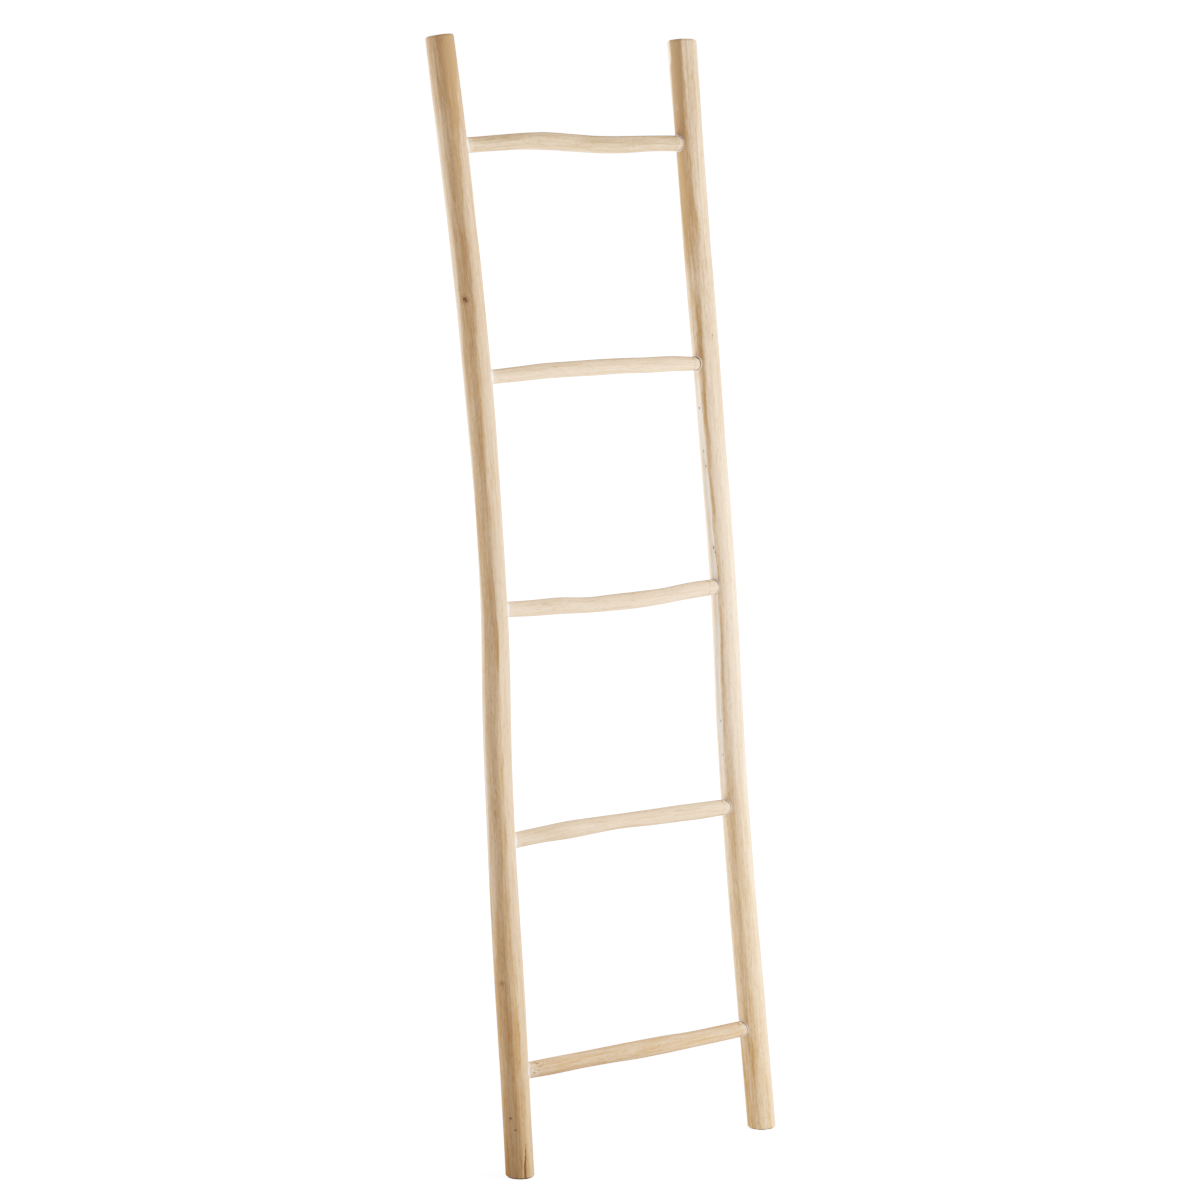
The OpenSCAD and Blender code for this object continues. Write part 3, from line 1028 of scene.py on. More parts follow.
@dataclass(frozen=True)
class PasteFinish:
    """Dried paste, such as filler or a plug: chalky, with wood dust, and with painted shade in its crevices."""

    name: str
    light: Colour
    shade: Colour
    dust: Colour
    rough: float
    grains: float
    # Colour of the painted shade in crevices.
    crevice_shade: Colour = (0.10, 0.065, 0.04)

    def make(self) -> Material:
        """Builds the finish and returns the material."""
        material, board, shader = new_material(self.name, 0.15)
        place = board.noted(PLACE, "Vector")
        cloud = board.noise(place, (420.0, 420.0, 420.0), 3.0, 0.6)
        fine = board.noise(place, (self.grains, self.grains, self.grains), 2.0, 0.6)
        paste = board.blend(board.span(cloud, 0.35, 0.68), self.light, self.shade)
        dusty = board.blend(board.span(fine, 0.6, 0.72, 0.0, 0.5), paste, self.dust)
        # The noted tone paints shade into the filler's crevice beside the rung.
        painted_shade = board.span(board.noted(TONE, "Fac"), 0.1, 0.7)
        board.feed(shader.inputs["Base Color"], board.blend(painted_shade, dusty, self.crevice_shade))
        rough = board.span(fine, 0.3, 0.7, self.rough - 0.08, self.rough + 0.06)
        board.feed(shader.inputs["Roughness"], rough)
        board.bump(shader, board.plus(fine, board.times(cloud, 1.5)), 0.7, 0.3 * MM)
        return material


@dataclass(frozen=True)
class PinSteelFinish:
    """Bare drawn steel of a hidden pin."""

    name: str = "pin_steel"
    bright: Colour = (0.56, 0.56, 0.57)
    dull: Colour = (0.36, 0.35, 0.34)

    def make(self) -> Material:
        """Builds the finish and returns the material."""
        material, board, shader = new_material(self.name)
        drawn = board.noise(board.node("TexCoord").outputs["Object"], (900.0, 120.0, 900.0))
        board.feed(shader.inputs["Base Color"], board.blend(board.span(drawn, 0.35, 0.7), self.bright, self.dull))
        board.feed(shader.inputs["Roughness"], board.span(drawn, 0.3, 0.7, 0.32, 0.5))
        shader.inputs["Metallic"].default_value = 1.0
        return material


def deepen(found: Array, column: Share, share: Array) -> None:
    """Raises one of the noted shares to at least a share."""
    found[:, column] = np.maximum(found[:, column], share)


def stained_by(marks: Sequence[Mark], place: Array, angle: Array, radius: float) -> Array:
    """What the marks of a branch give its surface.

    Args:
        marks: The marks.
        place: Distances along the branch.
        angle: Angles round it.
        radius: Its radius.

    Returns:
        Shares of knot brown, dark, grey and filler, as 4 columns.
    """
    found = np.zeros((len(place), len(Share)))
    for mark in marks:
        for column, share in zip(Share, mark.stains(place, angle, radius)):
            deepen(found, column, share)
    return found


def drawn_by(marks: Sequence[Mark], place: Array, angle: Array, radius: float) -> tuple[Array, Array]:
    """How the marks of a branch draw its grain.

    Args:
        marks: The marks.
        place: Distances along the branch.
        angle: Angles round it.
        radius: Its radius.

    Returns:
        The angles by which the grain bows aside, and the growth lines as 2 columns.
    """
    bend = np.zeros(len(place))
    rings = np.zeros((len(place), 2))
    for mark in marks:
        bend += mark.bend(place, angle, radius)
        count, strength = mark.rings(place, angle, radius)
        stronger = strength > rings[:, 1]
        rings[stronger, 0], rings[stronger, 1] = count[stronger], strength[stronger]
    return bend, rings


@dataclass
class Pole:
    """A side pole: a bowed, tapering branch with its mortises and plug seats."""

    side: Side
    sizes: LadderSizes
    thickness: float
    bow: float
    extra: float
    top_angle: float
    seed: int
    flats: int
    flat_turn: float
    flatness: Sequence[float]
    tones: Sequence[float]
    warmth: Sequence[float]
    stations: Rows
    marks: Sequence[Mark]
    bands: Sequence[Band]
    sway: float = 0.005
    top_rim: float = 0.005
    foot_chamfer: float = 0.0025
    slope_fade: float = 0.05875
    sides_round: int = 104
    step: float = 0.0042
    inside: float = 0.9965
    lump: float = 0.22 * MM
    nick: float = 0.05 * MM
    swell: float = 0.2 * MM
    saw_mark: float = 0.12 * MM
    mouth_sink: float = 2 * MM
    close: float = 1.2 * MM

    @property
    def length(self) -> float:
        """Length of the pole."""
        return self.sizes.length + self.extra

    def rung_height(self, place: RungPlace) -> float:
        """Height of a rung's end along the pole."""
        skew = RUNG_SKEW[place.value][self.side.value]
        return self.sizes.bottom_rung_height + place.value * self.sizes.rung_pitch + skew * self.sizes.rung_bow

    def centre(self, height: Array) -> Array:
        """Middle of the pole at heights along it, on the upright ladder."""
        height = np.asarray(height, float)
        bend = smooth_curve(self.stations, height / self.length)
        across = self.side.outwards * self.sizes.spacing / 2 + bend[..., 0] * self.bow
        return np.stack([across, bend[..., 1] * self.sway, height], -1)

    def radius(self, height: Array, angle: Array) -> Array:
        """Radius of the frame's own pole."""
        share = np.asarray(height, float) / self.length
        size = smooth_curve(self.stations, share)[..., 2]
        return self.thickness / 2 * size * self.sizes.girth(angle, share, 90.0 * self.side.value)

    def dressed(self, height: Array, angle: Array) -> Array:
        """Radius of the pole's dressed surface."""
        return self.radius(height, angle) * self.inside + self.relief(height, angle)

    def shaved(self, height: Array, angle: Array) -> Array:
        """Depth of the long flats that the drawknife left round the pole.

        Args:
            height: Heights along the pole.
            angle: Angles round it.

        Returns:
            The depths in metres.
        """
        draws = np.random.default_rng(self.seed + 4).uniform(0, math.tau, 4)
        drift = 0.12 * np.sin(math.tau * height / 0.71 + draws[0])
        drift = drift + 0.07 * np.sin(math.tau * height / 0.29 + draws[1])
        share = (angle - math.radians(self.flat_turn) + drift) / math.tau * self.flats
        index = np.round(share)
        half = math.pi / self.flats
        from_middle = (share - index) * 2 * half
        strength = smooth_line(self.flatness, height / self.length)
        own = np.clip(0.75 + 0.5 * np.sin(math.tau * height / 0.47 + index * 2.4 + draws[2]), 0.25, 1.25)
        return self.thickness / 2 * strength * own * (1 - math.cos(half) / np.cos(from_middle))

    def relief(self, height: Array, angle: Array) -> Array:
        """Height of flats, lumps, knots, cracks and pits over the frame's pole.

        Args:
            height: Heights along the pole.
            angle: Angles round it.

        Returns:
            The heights in metres.
        """
        lumps = wander(self.seed + 1, angle, height, (1, 2, 3), 0.16)
        nicks = wander(self.seed + 2, angle, height, (17, 23, 31), 0.09)
        total = self.lump * lumps + self.nick * nicks + self.swell - self.shaved(height, angle)
        for mark in self.marks:
            total = total + mark.relief(height, angle, self.thickness / 2)
        return total

    def slopes(self, height: Array) -> tuple[Array, Array]:
        """Slopes of a ring in depth, towards the floor's, and across, towards the top cut's."""
        foot = np.clip(1 - np.maximum(height, 0) / self.slope_fade, 0, None) ** 2
        top = np.clip(1 - np.maximum(self.length - height, 0) / self.slope_fade, 0, None) ** 2
        return math.tan(self.sizes.lean) * foot, -self.side.outwards * math.tan(self.top_angle) * top

    def levels(self) -> tuple[Array, Array, Array]:
        """Where the pole's rings lie, from the foot's middle to the top's.

        Returns:
            Heights, insets and shares of the rim's radius of all rings.
        """
        fine = [(mark.place, mark.half, 1.1 * MM) for mark in self.marks if mark.kind is not Kind.FLUTE]
        fine += [(self.rung_height(place), 17 * MM, 1.6 * MM) for place in RungPlace]
        fine += [(0.0, 12 * MM, self.close), (self.length, 14 * MM, self.close)]
        body = even_by_need(self.foot_chamfer, self.length - self.top_rim, self.step, fine)
        turn = np.radians(np.linspace(0, 90, 8))[1:]
        shares = np.array([0.2, 0.4, 0.58, 0.74, 0.88])
        chamfer = np.linspace(1, 0, 4)[:-1]
        heights = np.concatenate([
            np.zeros(len(shares)), self.foot_chamfer * (1 - chamfer), body,
            self.length - self.top_rim * (1 - np.sin(turn)), np.full(len(shares), self.length)])
        insets = np.concatenate([
            np.full(len(shares), self.foot_chamfer), self.foot_chamfer * chamfer, np.zeros(len(body)),
            self.top_rim * (1 - np.cos(turn)), np.full(len(shares), self.top_rim)])
        whole = np.ones(len(chamfer) + len(body) + len(turn))
        return heights, insets, np.concatenate([shares, whole, shares[::-1]])

    def skin(self) -> Mesh:
        """The pole's closed skin on the leaning ladder."""
        heights, insets, shares = self.levels()
        h, a = heights[:, None], ring_angles(self.sides_round)[None, :]
        radius = (self.dressed(h, a) - insets[:, None]) * shares[:, None]
        middle = self.centre(h)
        x, y = radius * np.cos(a), radius * np.sin(a)
        floor, cut = self.slopes(h)
        rise = floor * (middle[..., 1] + y) + cut * x
        saw = wander(self.seed + 5, a, h, (1, 2, 4), 0.1) * self.saw_mark
        rise = rise + np.where((h >= self.length) & (shares[:, None] < 1), saw, 0)
        rings = np.stack([middle[..., 0] + x, middle[..., 1] + y, middle[..., 2] + rise], -1)
        tips = []
        for height in (0.0, self.length):
            point = self.centre(np.array(height))
            floor_slope, _ = self.slopes(np.array(height))
            tips.append(self.sizes.leaned(point + np.array([0, 0, float(floor_slope) * point[1]])))
        return MeshMaker.sewn(f"pole_{self.side.word}", self.sizes.leaned(rings), tips)

    def cutters(self, joints: Sequence["Joint"]) -> Mesh:
        """Cylinders for the mortises, their opened mouths, the pin holes and the plug seats.

        Args:
            joints: The pole's joints.

        Returns:
            The cylinders as one mesh.
        """
        sizes, rods = self.sizes, []
        for joint in joints:
            seat, back = joint.plug_seat()
            rods += [
                (joint.on_axis(-sizes.mortise_depth), joint.on_axis(-self.mouth_sink / 2), sizes.mortise_d),
                (joint.on_axis(-self.mouth_sink), joint.on_axis(12 * MM), joint.mouth_d),
                (seat - back * sizes.pin_depth, seat, sizes.pin_hole_d),
                (seat - back * sizes.plug_depth, seat + back * 8 * MM, sizes.plug_d)]
        leaned = [(sizes.leaned(start), sizes.leaned(end), width) for start, end, width in rods]
        return MeshMaker.rods("cutter", leaned, 56)

    def branch_places(self, points: Array) -> tuple[Array, Array, Array]:
        """Where points are in the branch.

        Args:
            points: Points of the leaning ladder.

        Returns:
            Distances from the branch's middle line and along it, then angles and heights.
        """
        plain = self.sizes.upright(points)
        height = plain[:, 2].copy()
        for _ in range(2):
            held = np.clip(height, 0, self.length)
            floor, cut = self.slopes(held)
            height = plain[:, 2] - floor * plain[:, 1] - cut * (plain[:, 0] - self.centre(held)[:, 0])
        middle = self.centre(np.clip(height, 0, self.length))
        x, y = plain[:, 0] - middle[:, 0], plain[:, 1] - middle[:, 1]
        return np.stack([x, y, height], -1), np.arctan2(y, x), height

    def stains(self, places: Array, angle: Array, height: Array, joints: Sequence["Joint"]) -> Array:
        """Marks, painted shade round the foot, a browner top rim and smeared filler at points of the branch.

        Args:
            places: The points' places in the branch.
            angle: Their angles.
            height: Their heights.
            joints: The pole's joints.

        Returns:
            Shares of knot brown, dark, grey and filler, as 4 columns.
        """
        radius = self.thickness / 2
        found = stained_by(self.marks, height, angle, radius)
        outer = soft_step(np.hypot(places[:, 0], places[:, 1]) / radius, 0.45, 0.85)
        found[:, :Share.FILLER] *= outer[:, None]
        uneven_rim = 1 + 0.35 * wander(self.seed + 8, angle, angle * 0, (1, 3, 7), 1.0)
        # Painted shade: a dark and a brown line round the foot, where it stands on the floor.
        deepen(found, Share.DARK, soft_step(height, 3.4 * MM, 1.0 * MM) * uneven_rim)
        deepen(found, Share.BROWN, soft_step(height, 5 * MM, 0) * 0.5 * uneven_rim)
        # Browner along the top rim.
        deepen(found, Share.BROWN, soft_step(self.length - height, 2.2 * MM, 0.4 * MM) * 0.7 * uneven_rim)
        for joint in joints:
            away, y, z = joint.from_axis(places)
            dab = patchy(self.seed + 20 + joint.place.value, np.arctan2(y, z), (2, 3, 5))
            smear = soft_step(away, joint.mouth_d / 2 + joint.smear * (0.4 + 1.2 * dab), joint.mouth_d / 2)
            deepen(found, Share.FILLER, smear * joint.smeared)
        return found

    def tone(self, angle: Array, height: Array) -> Array:
        """How deep the wood's colour is at places of the branch, with the painted shade of some bands."""
        total = smooth_line(self.tones, height / self.length)
        total = total + 0.07 * wander(self.seed + 30, angle, height, (1, 2, 4), 0.11)
        for band in self.bands:
            total = total + band.depth(height, angle)
        return total

    def dress(self, finish: Material, ends: Material, joints: Sequence["Joint"]) -> None:
        """Builds the pole and puts it in its place.

        Args:
            finish: Finish of the peeled surface.
            ends: Finish of the sawn ends.
            joints: The pole's joints.
        """
        mesh = MeshMaker.cut(self.skin(), self.cutters(joints))
        low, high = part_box(f"{self.side.word}_stile")
        points = np.clip(MeshMaker.points_of(mesh), np.array(low), np.array(high))
        mesh.vertices.foreach_set("co", points.astype(np.float32).ravel())
        mesh.update()
        places, angle, height = self.branch_places(points)
        bend, rings = drawn_by(self.marks, height, angle, self.thickness / 2)
        MeshMaker.note(
            mesh, turned(places, -bend), self.stains(places, angle, height, joints), self.tone(angle, height),
            rings, smooth_line(self.warmth, height / self.length))
        MeshMaker.smooth(mesh, 48)
        MeshMaker.place(mesh, (finish, ends), "stile_wood", f"{self.side.word}_stile")
        mesh.polygons.foreach_set("material_index", self.sawn(mesh).astype(np.int32))

    def sawn(self, mesh: Mesh, rim: float = 1 * MM, deep: float = 2 * MM) -> Array:
        """Which faces of the pole's mesh are its sawn ends.

        Args:
            mesh: The mesh.
            rim: How far inside the pole's outline they lie.
            deep: How far from the ends of the branch they can lie.

        Returns:
            True or False for each face.
        """
        middles, normals = np.empty((2, len(mesh.polygons) * 3), np.float32)
        mesh.polygons.foreach_get("center", middles)
        mesh.polygons.foreach_get("normal", normals)
        spots, _, tall = self.branch_places(middles.reshape(-1, 3).astype(float))
        level = np.abs(normals.reshape(-1, 3)[:, 2]) > 0.85
        inner = np.hypot(spots[:, 0], spots[:, 1]) < self.thickness / 2 - rim
        return level & inner & ((tall < deep) | (tall > self.length - deep))


@dataclass(frozen=True)
class Joint:
    """Where one rung enters one pole."""

    place: RungPlace
    pole: Pole
    other: Pole

    @property
    def side(self) -> Side:
        """The side of its pole."""
        return self.pole.side

    @property
    def left(self) -> bool:
        """Whether it is on the left."""
        return self.side is Side.LEFT

    @property
    def sizes(self) -> LadderSizes:
        """The ladder's sizes."""
        return self.pole.sizes

    @property
    def height(self) -> float:
        """Height along the pole."""
        return self.pole.rung_height(self.place)

    @property
    def middle(self) -> Array:
        """Point on the pole's middle line."""
        return self.pole.centre(np.array(self.height))

    @property
    def reach(self) -> float:
        """Distance from the middle line to the pole's surface, towards the rungs."""
        angle = 0.0 if self.left else math.pi
        return float(self.pole.radius(np.array(self.height), np.array(angle)))

    @property
    def mouth_d(self) -> float:
        """Width of the worn mouth."""
        return self.sizes.mortise_d + MOUTH_WEAR[self.place][self.side.value] * MM

    @property
    def smear(self) -> float:
        """How far filler is smeared over the pole."""
        return 0.9 * MM if self.left else 0.5 * MM

    @property
    def smeared(self) -> float:
        """How much of the smear there is."""
        return 1.0 if self.left else 0.6

    def axis(self) -> Array:
        """Direction out of the mouth along the rung."""
        way = self.other.centre(np.array(self.other.rung_height(self.place))) - self.middle
        return way / np.linalg.norm(way)

    def on_axis(self, out: float) -> Array:
        """Point on the rung's line, so far out of the mouth."""
        return self.middle + self.axis() * (self.reach + out)

    def axes(self) -> tuple[Array, Array, Array]:
        """Directions out of the mouth, towards the wall, and up."""
        out = self.axis()
        wall = np.array([0.0, 1.0, 0.0])
        wall = wall - out * (wall @ out)
        wall /= np.linalg.norm(wall)
        up = np.cross(out, wall)
        return out, wall, up if up[2] > 0 else -up

    def surface(self, y: Array, z: Array) -> Array:
        """How far out of the mouth the pole's dressed surface lies beside the rung's line.

        Args:
            y: Distances from the line towards the wall.
            z: Distances up from it.

        Returns:
            The distances out of the mouth.
        """
        out, wall, up = self.axes()
        beside = self.on_axis(0) + np.multiply.outer(y, wall) + np.multiply.outer(z, up)
        lift, angle = np.zeros(beside.shape[:-1]), np.arcsin(np.clip(y / self.reach, -0.95, 0.95)) + 0 * z
        for _ in range(3):
            spot = beside + lift[..., None] * out
            middle = self.pole.centre(spot[..., 2])
            facing = np.mod(angle if self.left else math.pi - angle, math.tau)
            radius = self.pole.dressed(spot[..., 2], facing)
            angle = np.arcsin(np.clip((spot[..., 1] - middle[..., 1]) / radius, -0.98, 0.98))
            across = -self.side.outwards * radius * np.cos(angle)
            lift = lift + (middle[..., 0] + across - spot[..., 0]) / out[0]
        return lift

    def lift(self, points: Array) -> Array:
        """How far points of the upright ladder stand out of the pole's surface, along the rung."""
        out, wall, up = self.axes()
        from_mouth = points - self.on_axis(0)
        return from_mouth @ out - self.surface(from_mouth @ wall, from_mouth @ up)

    def from_axis(self, places: Array) -> tuple[Array, Array, Array]:
        """Distance of branch places from the rung's line, far on the far side, with its two parts."""
        y, z = places[:, 1], places[:, 2] - self.height
        facing = places[:, 0] * -self.side.outwards > 0
        return np.where(facing, np.hypot(y, z), 1.0), y, z

    def plug_seat(self) -> tuple[Array, Array]:
        """Point on the pole's back over the pin, and the direction out of the back."""
        inwards = -self.side.outwards * self.sizes.pin_offset
        around = math.atan2(math.sqrt(self.reach**2 - self.sizes.pin_offset**2), inwards)
        back = float(self.pole.radius(np.array(self.height), np.array(around))) * math.sin(around)
        return self.middle + np.array([inwards, back, 0.0]), np.array([0.0, 1.0, 0.0])


@dataclass
class Rung:
    """A rung: a branch with whittled tips and round tenons."""

    place: RungPlace
    left: Joint
    right: Joint
    stations: Rows
    marks: Sequence[Mark]
    tone: float
    warmth: float
    knife_reach: tuple[float, float]
    sides_round: int = 104
    step: float = 0.0034
    flats: int = 9
    tip_extra: tuple[float, float] = (0.0014, 0.0006)
    scribe_length: float = 0.014
    flat: float = 0.14 * MM
    lump: float = 0.2 * MM
    sink: float = 0.08 * MM
    tenon_edge: float = 1 * MM
    tip_stretch: float = 15 * MM

    @property
    def sizes(self) -> LadderSizes:
        """The ladder's sizes."""
        return self.left.sizes

    @property
    def seed(self) -> int:
        """Picks the rung's own waves."""
        return 50 + 3 * self.place.value

    @property
    def span(self) -> float:
        """Distance between the poles' middle lines along the rung."""
        return float(np.linalg.norm(self.right.middle - self.left.middle))

    @property
    def start(self) -> float:
        """Where the left shoulder is along the rung's line."""
        return self.left.reach + self.sizes.shoulder_gap

    @property
    def body(self) -> float:
        """Length between the shoulders."""
        return self.span - self.start - self.right.reach - self.sizes.shoulder_gap

    def frame_axes(self) -> tuple[Array, Array]:
        """Start of the rung's line and its axes as rows: down, to the wall, and along."""
        start, end = self.left.middle, self.right.middle
        run = (end - start) / np.linalg.norm(end - start)
        tilt, turn = math.acos(run[2]), math.atan2(run[1], run[0])
        down = np.array([math.cos(tilt) * math.cos(turn), math.cos(tilt) * math.sin(turn), -math.sin(tilt)])
        wall = np.array([-math.sin(turn), math.cos(turn), 0.0])
        return start, np.stack([down, wall, run])

    def knife_cuts(self, place: Array, angle: Array) -> list[tuple[Array, Array, Array]]:
        """Flats that the knife left at the left and the right tip.

        Args:
            place: Distances from the left shoulder.
            angle: Angles round the rung.

        Returns:
            For each tip: distances from its shoulder, lengths of the flats there, and angles from
            their middles.
        """
        draws = np.random.default_rng(self.seed + 7)
        cuts = []
        for near, reach in zip((place, self.body - place), self.knife_reach):
            offset = draws.uniform(0, math.tau)
            share = (angle - offset) / math.tau * self.flats
            index = np.floor(share).astype(int) % self.flats
            lengths = self.sizes.bevel_length * reach * draws.uniform(0.8, 1.55, self.flats)
            cuts.append((near, lengths[index], (share - np.floor(share) - 0.5) * math.tau / self.flats))
        return cuts

    def full(self, place: Array, angle: Array) -> tuple[Array, Array]:
        """The branch before its tips are whittled.

        Args:
            place: Distances from the left shoulder.
            angle: Angles round the rung.

        Returns:
            Its bends with its thickness as the last column, and its radius.
        """
        sizes, share = self.sizes, place / self.body
        bend = smooth_curve(self.stations, share)
        girth = sizes.girth(angle, share, 70.0 * self.place.value)
        return bend, sizes.rung_d / 2 * bend[..., 2] * girth + self.relief(place, angle)

    def whittled(self, full: Array, place: Array, angle: Array) -> Array:
        """Draws the tips in by the knife's flats towards the shoulders.

        Args:
            full: Radius of the whole branch.
            place: Distances from the left shoulder.
            angle: Angles round the rung.

        Returns:
            The radius that is left.
        """
        result = full
        for (near, length, from_middle), extra in zip(self.knife_cuts(place, angle), self.tip_extra):
            shoulder = self.sizes.shoulder_d / 2 + extra
            inwards = np.clip(near / length, 0, 1)
            rise = np.sqrt(np.clip(1 - (1 - inwards) ** 2, 0, 1))
            flat = shoulder + (self.sizes.rung_d / 2 - shoulder) * rise * 1.02
            flat = np.where(inwards < 1, flat * (1 + 0.6 * (1 / np.cos(from_middle) - 1)), 1.0)
            result = np.minimum(result, np.maximum(flat, shoulder * 0.995))
        return result

    def tip_radius(self, side: Side) -> float:
        """Radius of a tip at its shoulder."""
        return self.sizes.shoulder_d / 2 + self.tip_extra[side.value]

    def scribed(self, place: Array, angle: Array) -> Array:
        """How far points of the tips move along the rung, so that the shoulders follow the poles.

        Args:
            place: Distances from the left shoulder.
            angle: Angles round the rung.

        Returns:
            The moves to the right.
        """
        moved = np.zeros(np.broadcast(place, angle).shape)
        for joint, near, way in ((self.left, place, 1), (self.right, self.body - place, -1)):
            tip = self.tip_radius(joint.side)
            gap = joint.surface(tip * np.sin(angle), -tip * np.cos(angle))
            moved = moved + way * gap * np.clip(1 - near / self.scribe_length, 0, 1)
        return moved

    def relief(self, place: Array, angle: Array) -> Array:
        """Height of flats, lumps and knots over the frame's rung, in metres."""
        flats = wander(self.seed, angle, place, (4, 5, 7), 0.3)
        lumps = wander(self.seed + 1, angle, place, (1, 2, 3), 0.09)
        total = self.flat * flats + self.lump * lumps - self.sink
        for mark in self.marks:
            total = total + mark.relief(place, angle, self.sizes.rung_d / 2)
        return total

    def skin(self) -> Mesh:
        """The rung's closed skin with its tenons, on the leaning ladder."""
        sizes, body = self.sizes, self.body
        fine = [(mark.place, mark.half, 1.0 * MM) for mark in self.marks]
        fine += [(end, self.tip_stretch, 0.8 * MM) for end in (0.0, body)]
        place, angle = even_by_need(0.0, body, self.step, fine), ring_angles(self.sides_round)
        p, a = place[:, None], angle[None, :]
        bend, full = self.full(p, a)
        radius = self.whittled(full, p, a)
        x = radius * np.cos(a) - bend[..., 0] * sizes.rung_bow
        y = radius * np.sin(a) + bend[..., 1] * sizes.rung_sway
        rings = np.stack([x, y, self.start + p + self.scribed(p, a)], -1)
        tenon, edge = sizes.tenon_d / 2, self.tenon_edge
        low, high = self.left.reach - sizes.tenon_length, self.span - self.right.reach + sizes.tenon_length

        def round_rings(*at: tuple[float, float]) -> Array:
            """Round rings at places along the line, as (place, radius)."""
            return np.stack([
                np.stack([r * np.cos(angle), r * np.sin(angle), np.full_like(angle, z)], -1) for z, r in at])

        before = round_rings((low, tenon * 0.5), (low, tenon - edge), (low + edge, tenon), (self.start, tenon))
        after = round_rings((self.start + body, tenon), (high - edge, tenon), (high, tenon - edge), (high, tenon * 0.5))
        before[-1, :, 2], after[0, :, 2] = rings[0, :, 2], rings[-1, :, 2]
        rings = np.concatenate([before, rings, after])
        start, axes = self.frame_axes()
        tips = [sizes.leaned(start + np.array([0, 0, z]) @ axes) for z in (low, high)]
        return MeshMaker.sewn(f"rung_{self.place.word}", sizes.leaned(start + rings @ axes), tips)

    def branch_places(self, plain: Array) -> tuple[Array, Array, Array]:
        """Where points are in the branch.

        Args:
            plain: Points of the upright ladder.

        Returns:
            Distances from the branch's middle line and along it, then angles and distances from the
            left shoulder.
        """
        start, axes = self.frame_axes()
        local = (plain - start) @ axes.T
        place = local[:, 2] - self.start
        bend = smooth_curve(self.stations, place / self.body)
        x = local[:, 0] + bend[:, 0] * self.sizes.rung_bow
        y = local[:, 1] - bend[:, 1] * self.sizes.rung_sway
        return np.stack([x, y, place], -1), np.arctan2(y, x), place

    def stains(self, points: Array, angle: Array, place: Array) -> tuple[Array, Array]:
        """What shows at points of the rung, painted shade included.

        Args:
            points: The points on the upright ladder.
            angle: Angles round the rung.
            place: Distances from the left shoulder.

        Returns:
            Shares of knot brown, dark, grey and filler, and how deep the wood's colour is.
        """
        radius = self.sizes.rung_d / 2
        found = stained_by(self.marks, place, angle, radius)
        tone = self.tone + 0.06 * wander(self.seed + 30, angle, place, (1, 2), 0.08)
        # Painted shade: deeper on the side towards the wall, where the light is bright, as on the poles' backs.
        tone = tone + 0.26 * soft_step(np.sin(angle), 0.1, 0.8)
        rim = soft_step(np.abs(np.cos(angle)), 0.45, 0.85)
        # Stronger on the upper side, for the painted shade at the right tips.
        over = 0.6 + 0.6 * (0.5 - 0.5 * np.cos(angle + 0.5))
        for joint, reach, (near, length, from_middle) in zip(
                (self.left, self.right), self.knife_reach, self.knife_cuts(place, angle)):
            plain = np.clip(2.5 * (reach - (0.6 if joint.left else 0.3)), 0.0, 1.0)
            cut = soft_step(near / length, 1.06, 0.94)
            tone = tone - 0.3 * cut
            start = dome(near - length, 1.0 * MM)
            ridge = dome((math.pi / self.flats - np.abs(from_middle)) * radius, 0.7 * MM) * cut
            deepen(found, Share.BROWN, (start + 0.9 * ridge) * (0.6 + 0.4 * rim) * plain)
            lift = joint.lift(points)
            if joint.left:
                wet = 1.6 * MM * (0.5 + 1.1 * patchy(self.seed + 9, angle, (1, 2, 4)))
                deepen(found, Share.FILLER, soft_step(lift / wet, 1.9, 0.9) * (near < length))
            else:
                # Painted shade at the right tips: a dark line on the tip's top and bottom where the knife's cut starts,
                # and a dark line in the crevice between the tip and the filler.
                wide = 1 + 2.2 * rim * patchy(self.seed + 12, angle, (1, 2, 3))
                gap = soft_step(lift / wide, 1.9 * MM, 0.9 * MM) * (near < length)
                deepen(found, Share.DARK, 0.8 * start * rim * plain)
                deepen(found, Share.DARK, gap * over)
        return found, tone

    def dress(self, finish: Material) -> None:
        """Builds the rung and puts it in its place.

        Args:
            finish: Finish of the peeled surface.
        """
        mesh = self.skin()
        plain = self.sizes.upright(MeshMaker.points_of(mesh))
        places, angle, place = self.branch_places(plain)
        bend, rings = drawn_by(self.marks, place, angle, self.sizes.rung_d / 2)
        stained, tone = self.stains(plain, angle, place)
        MeshMaker.note(mesh, turned(places, -bend), stained, tone, rings, self.warmth)
        MeshMaker.smooth(mesh, 48)
        MeshMaker.place(mesh, (finish,), "rung_wood", f"{self.place.word}_rung")


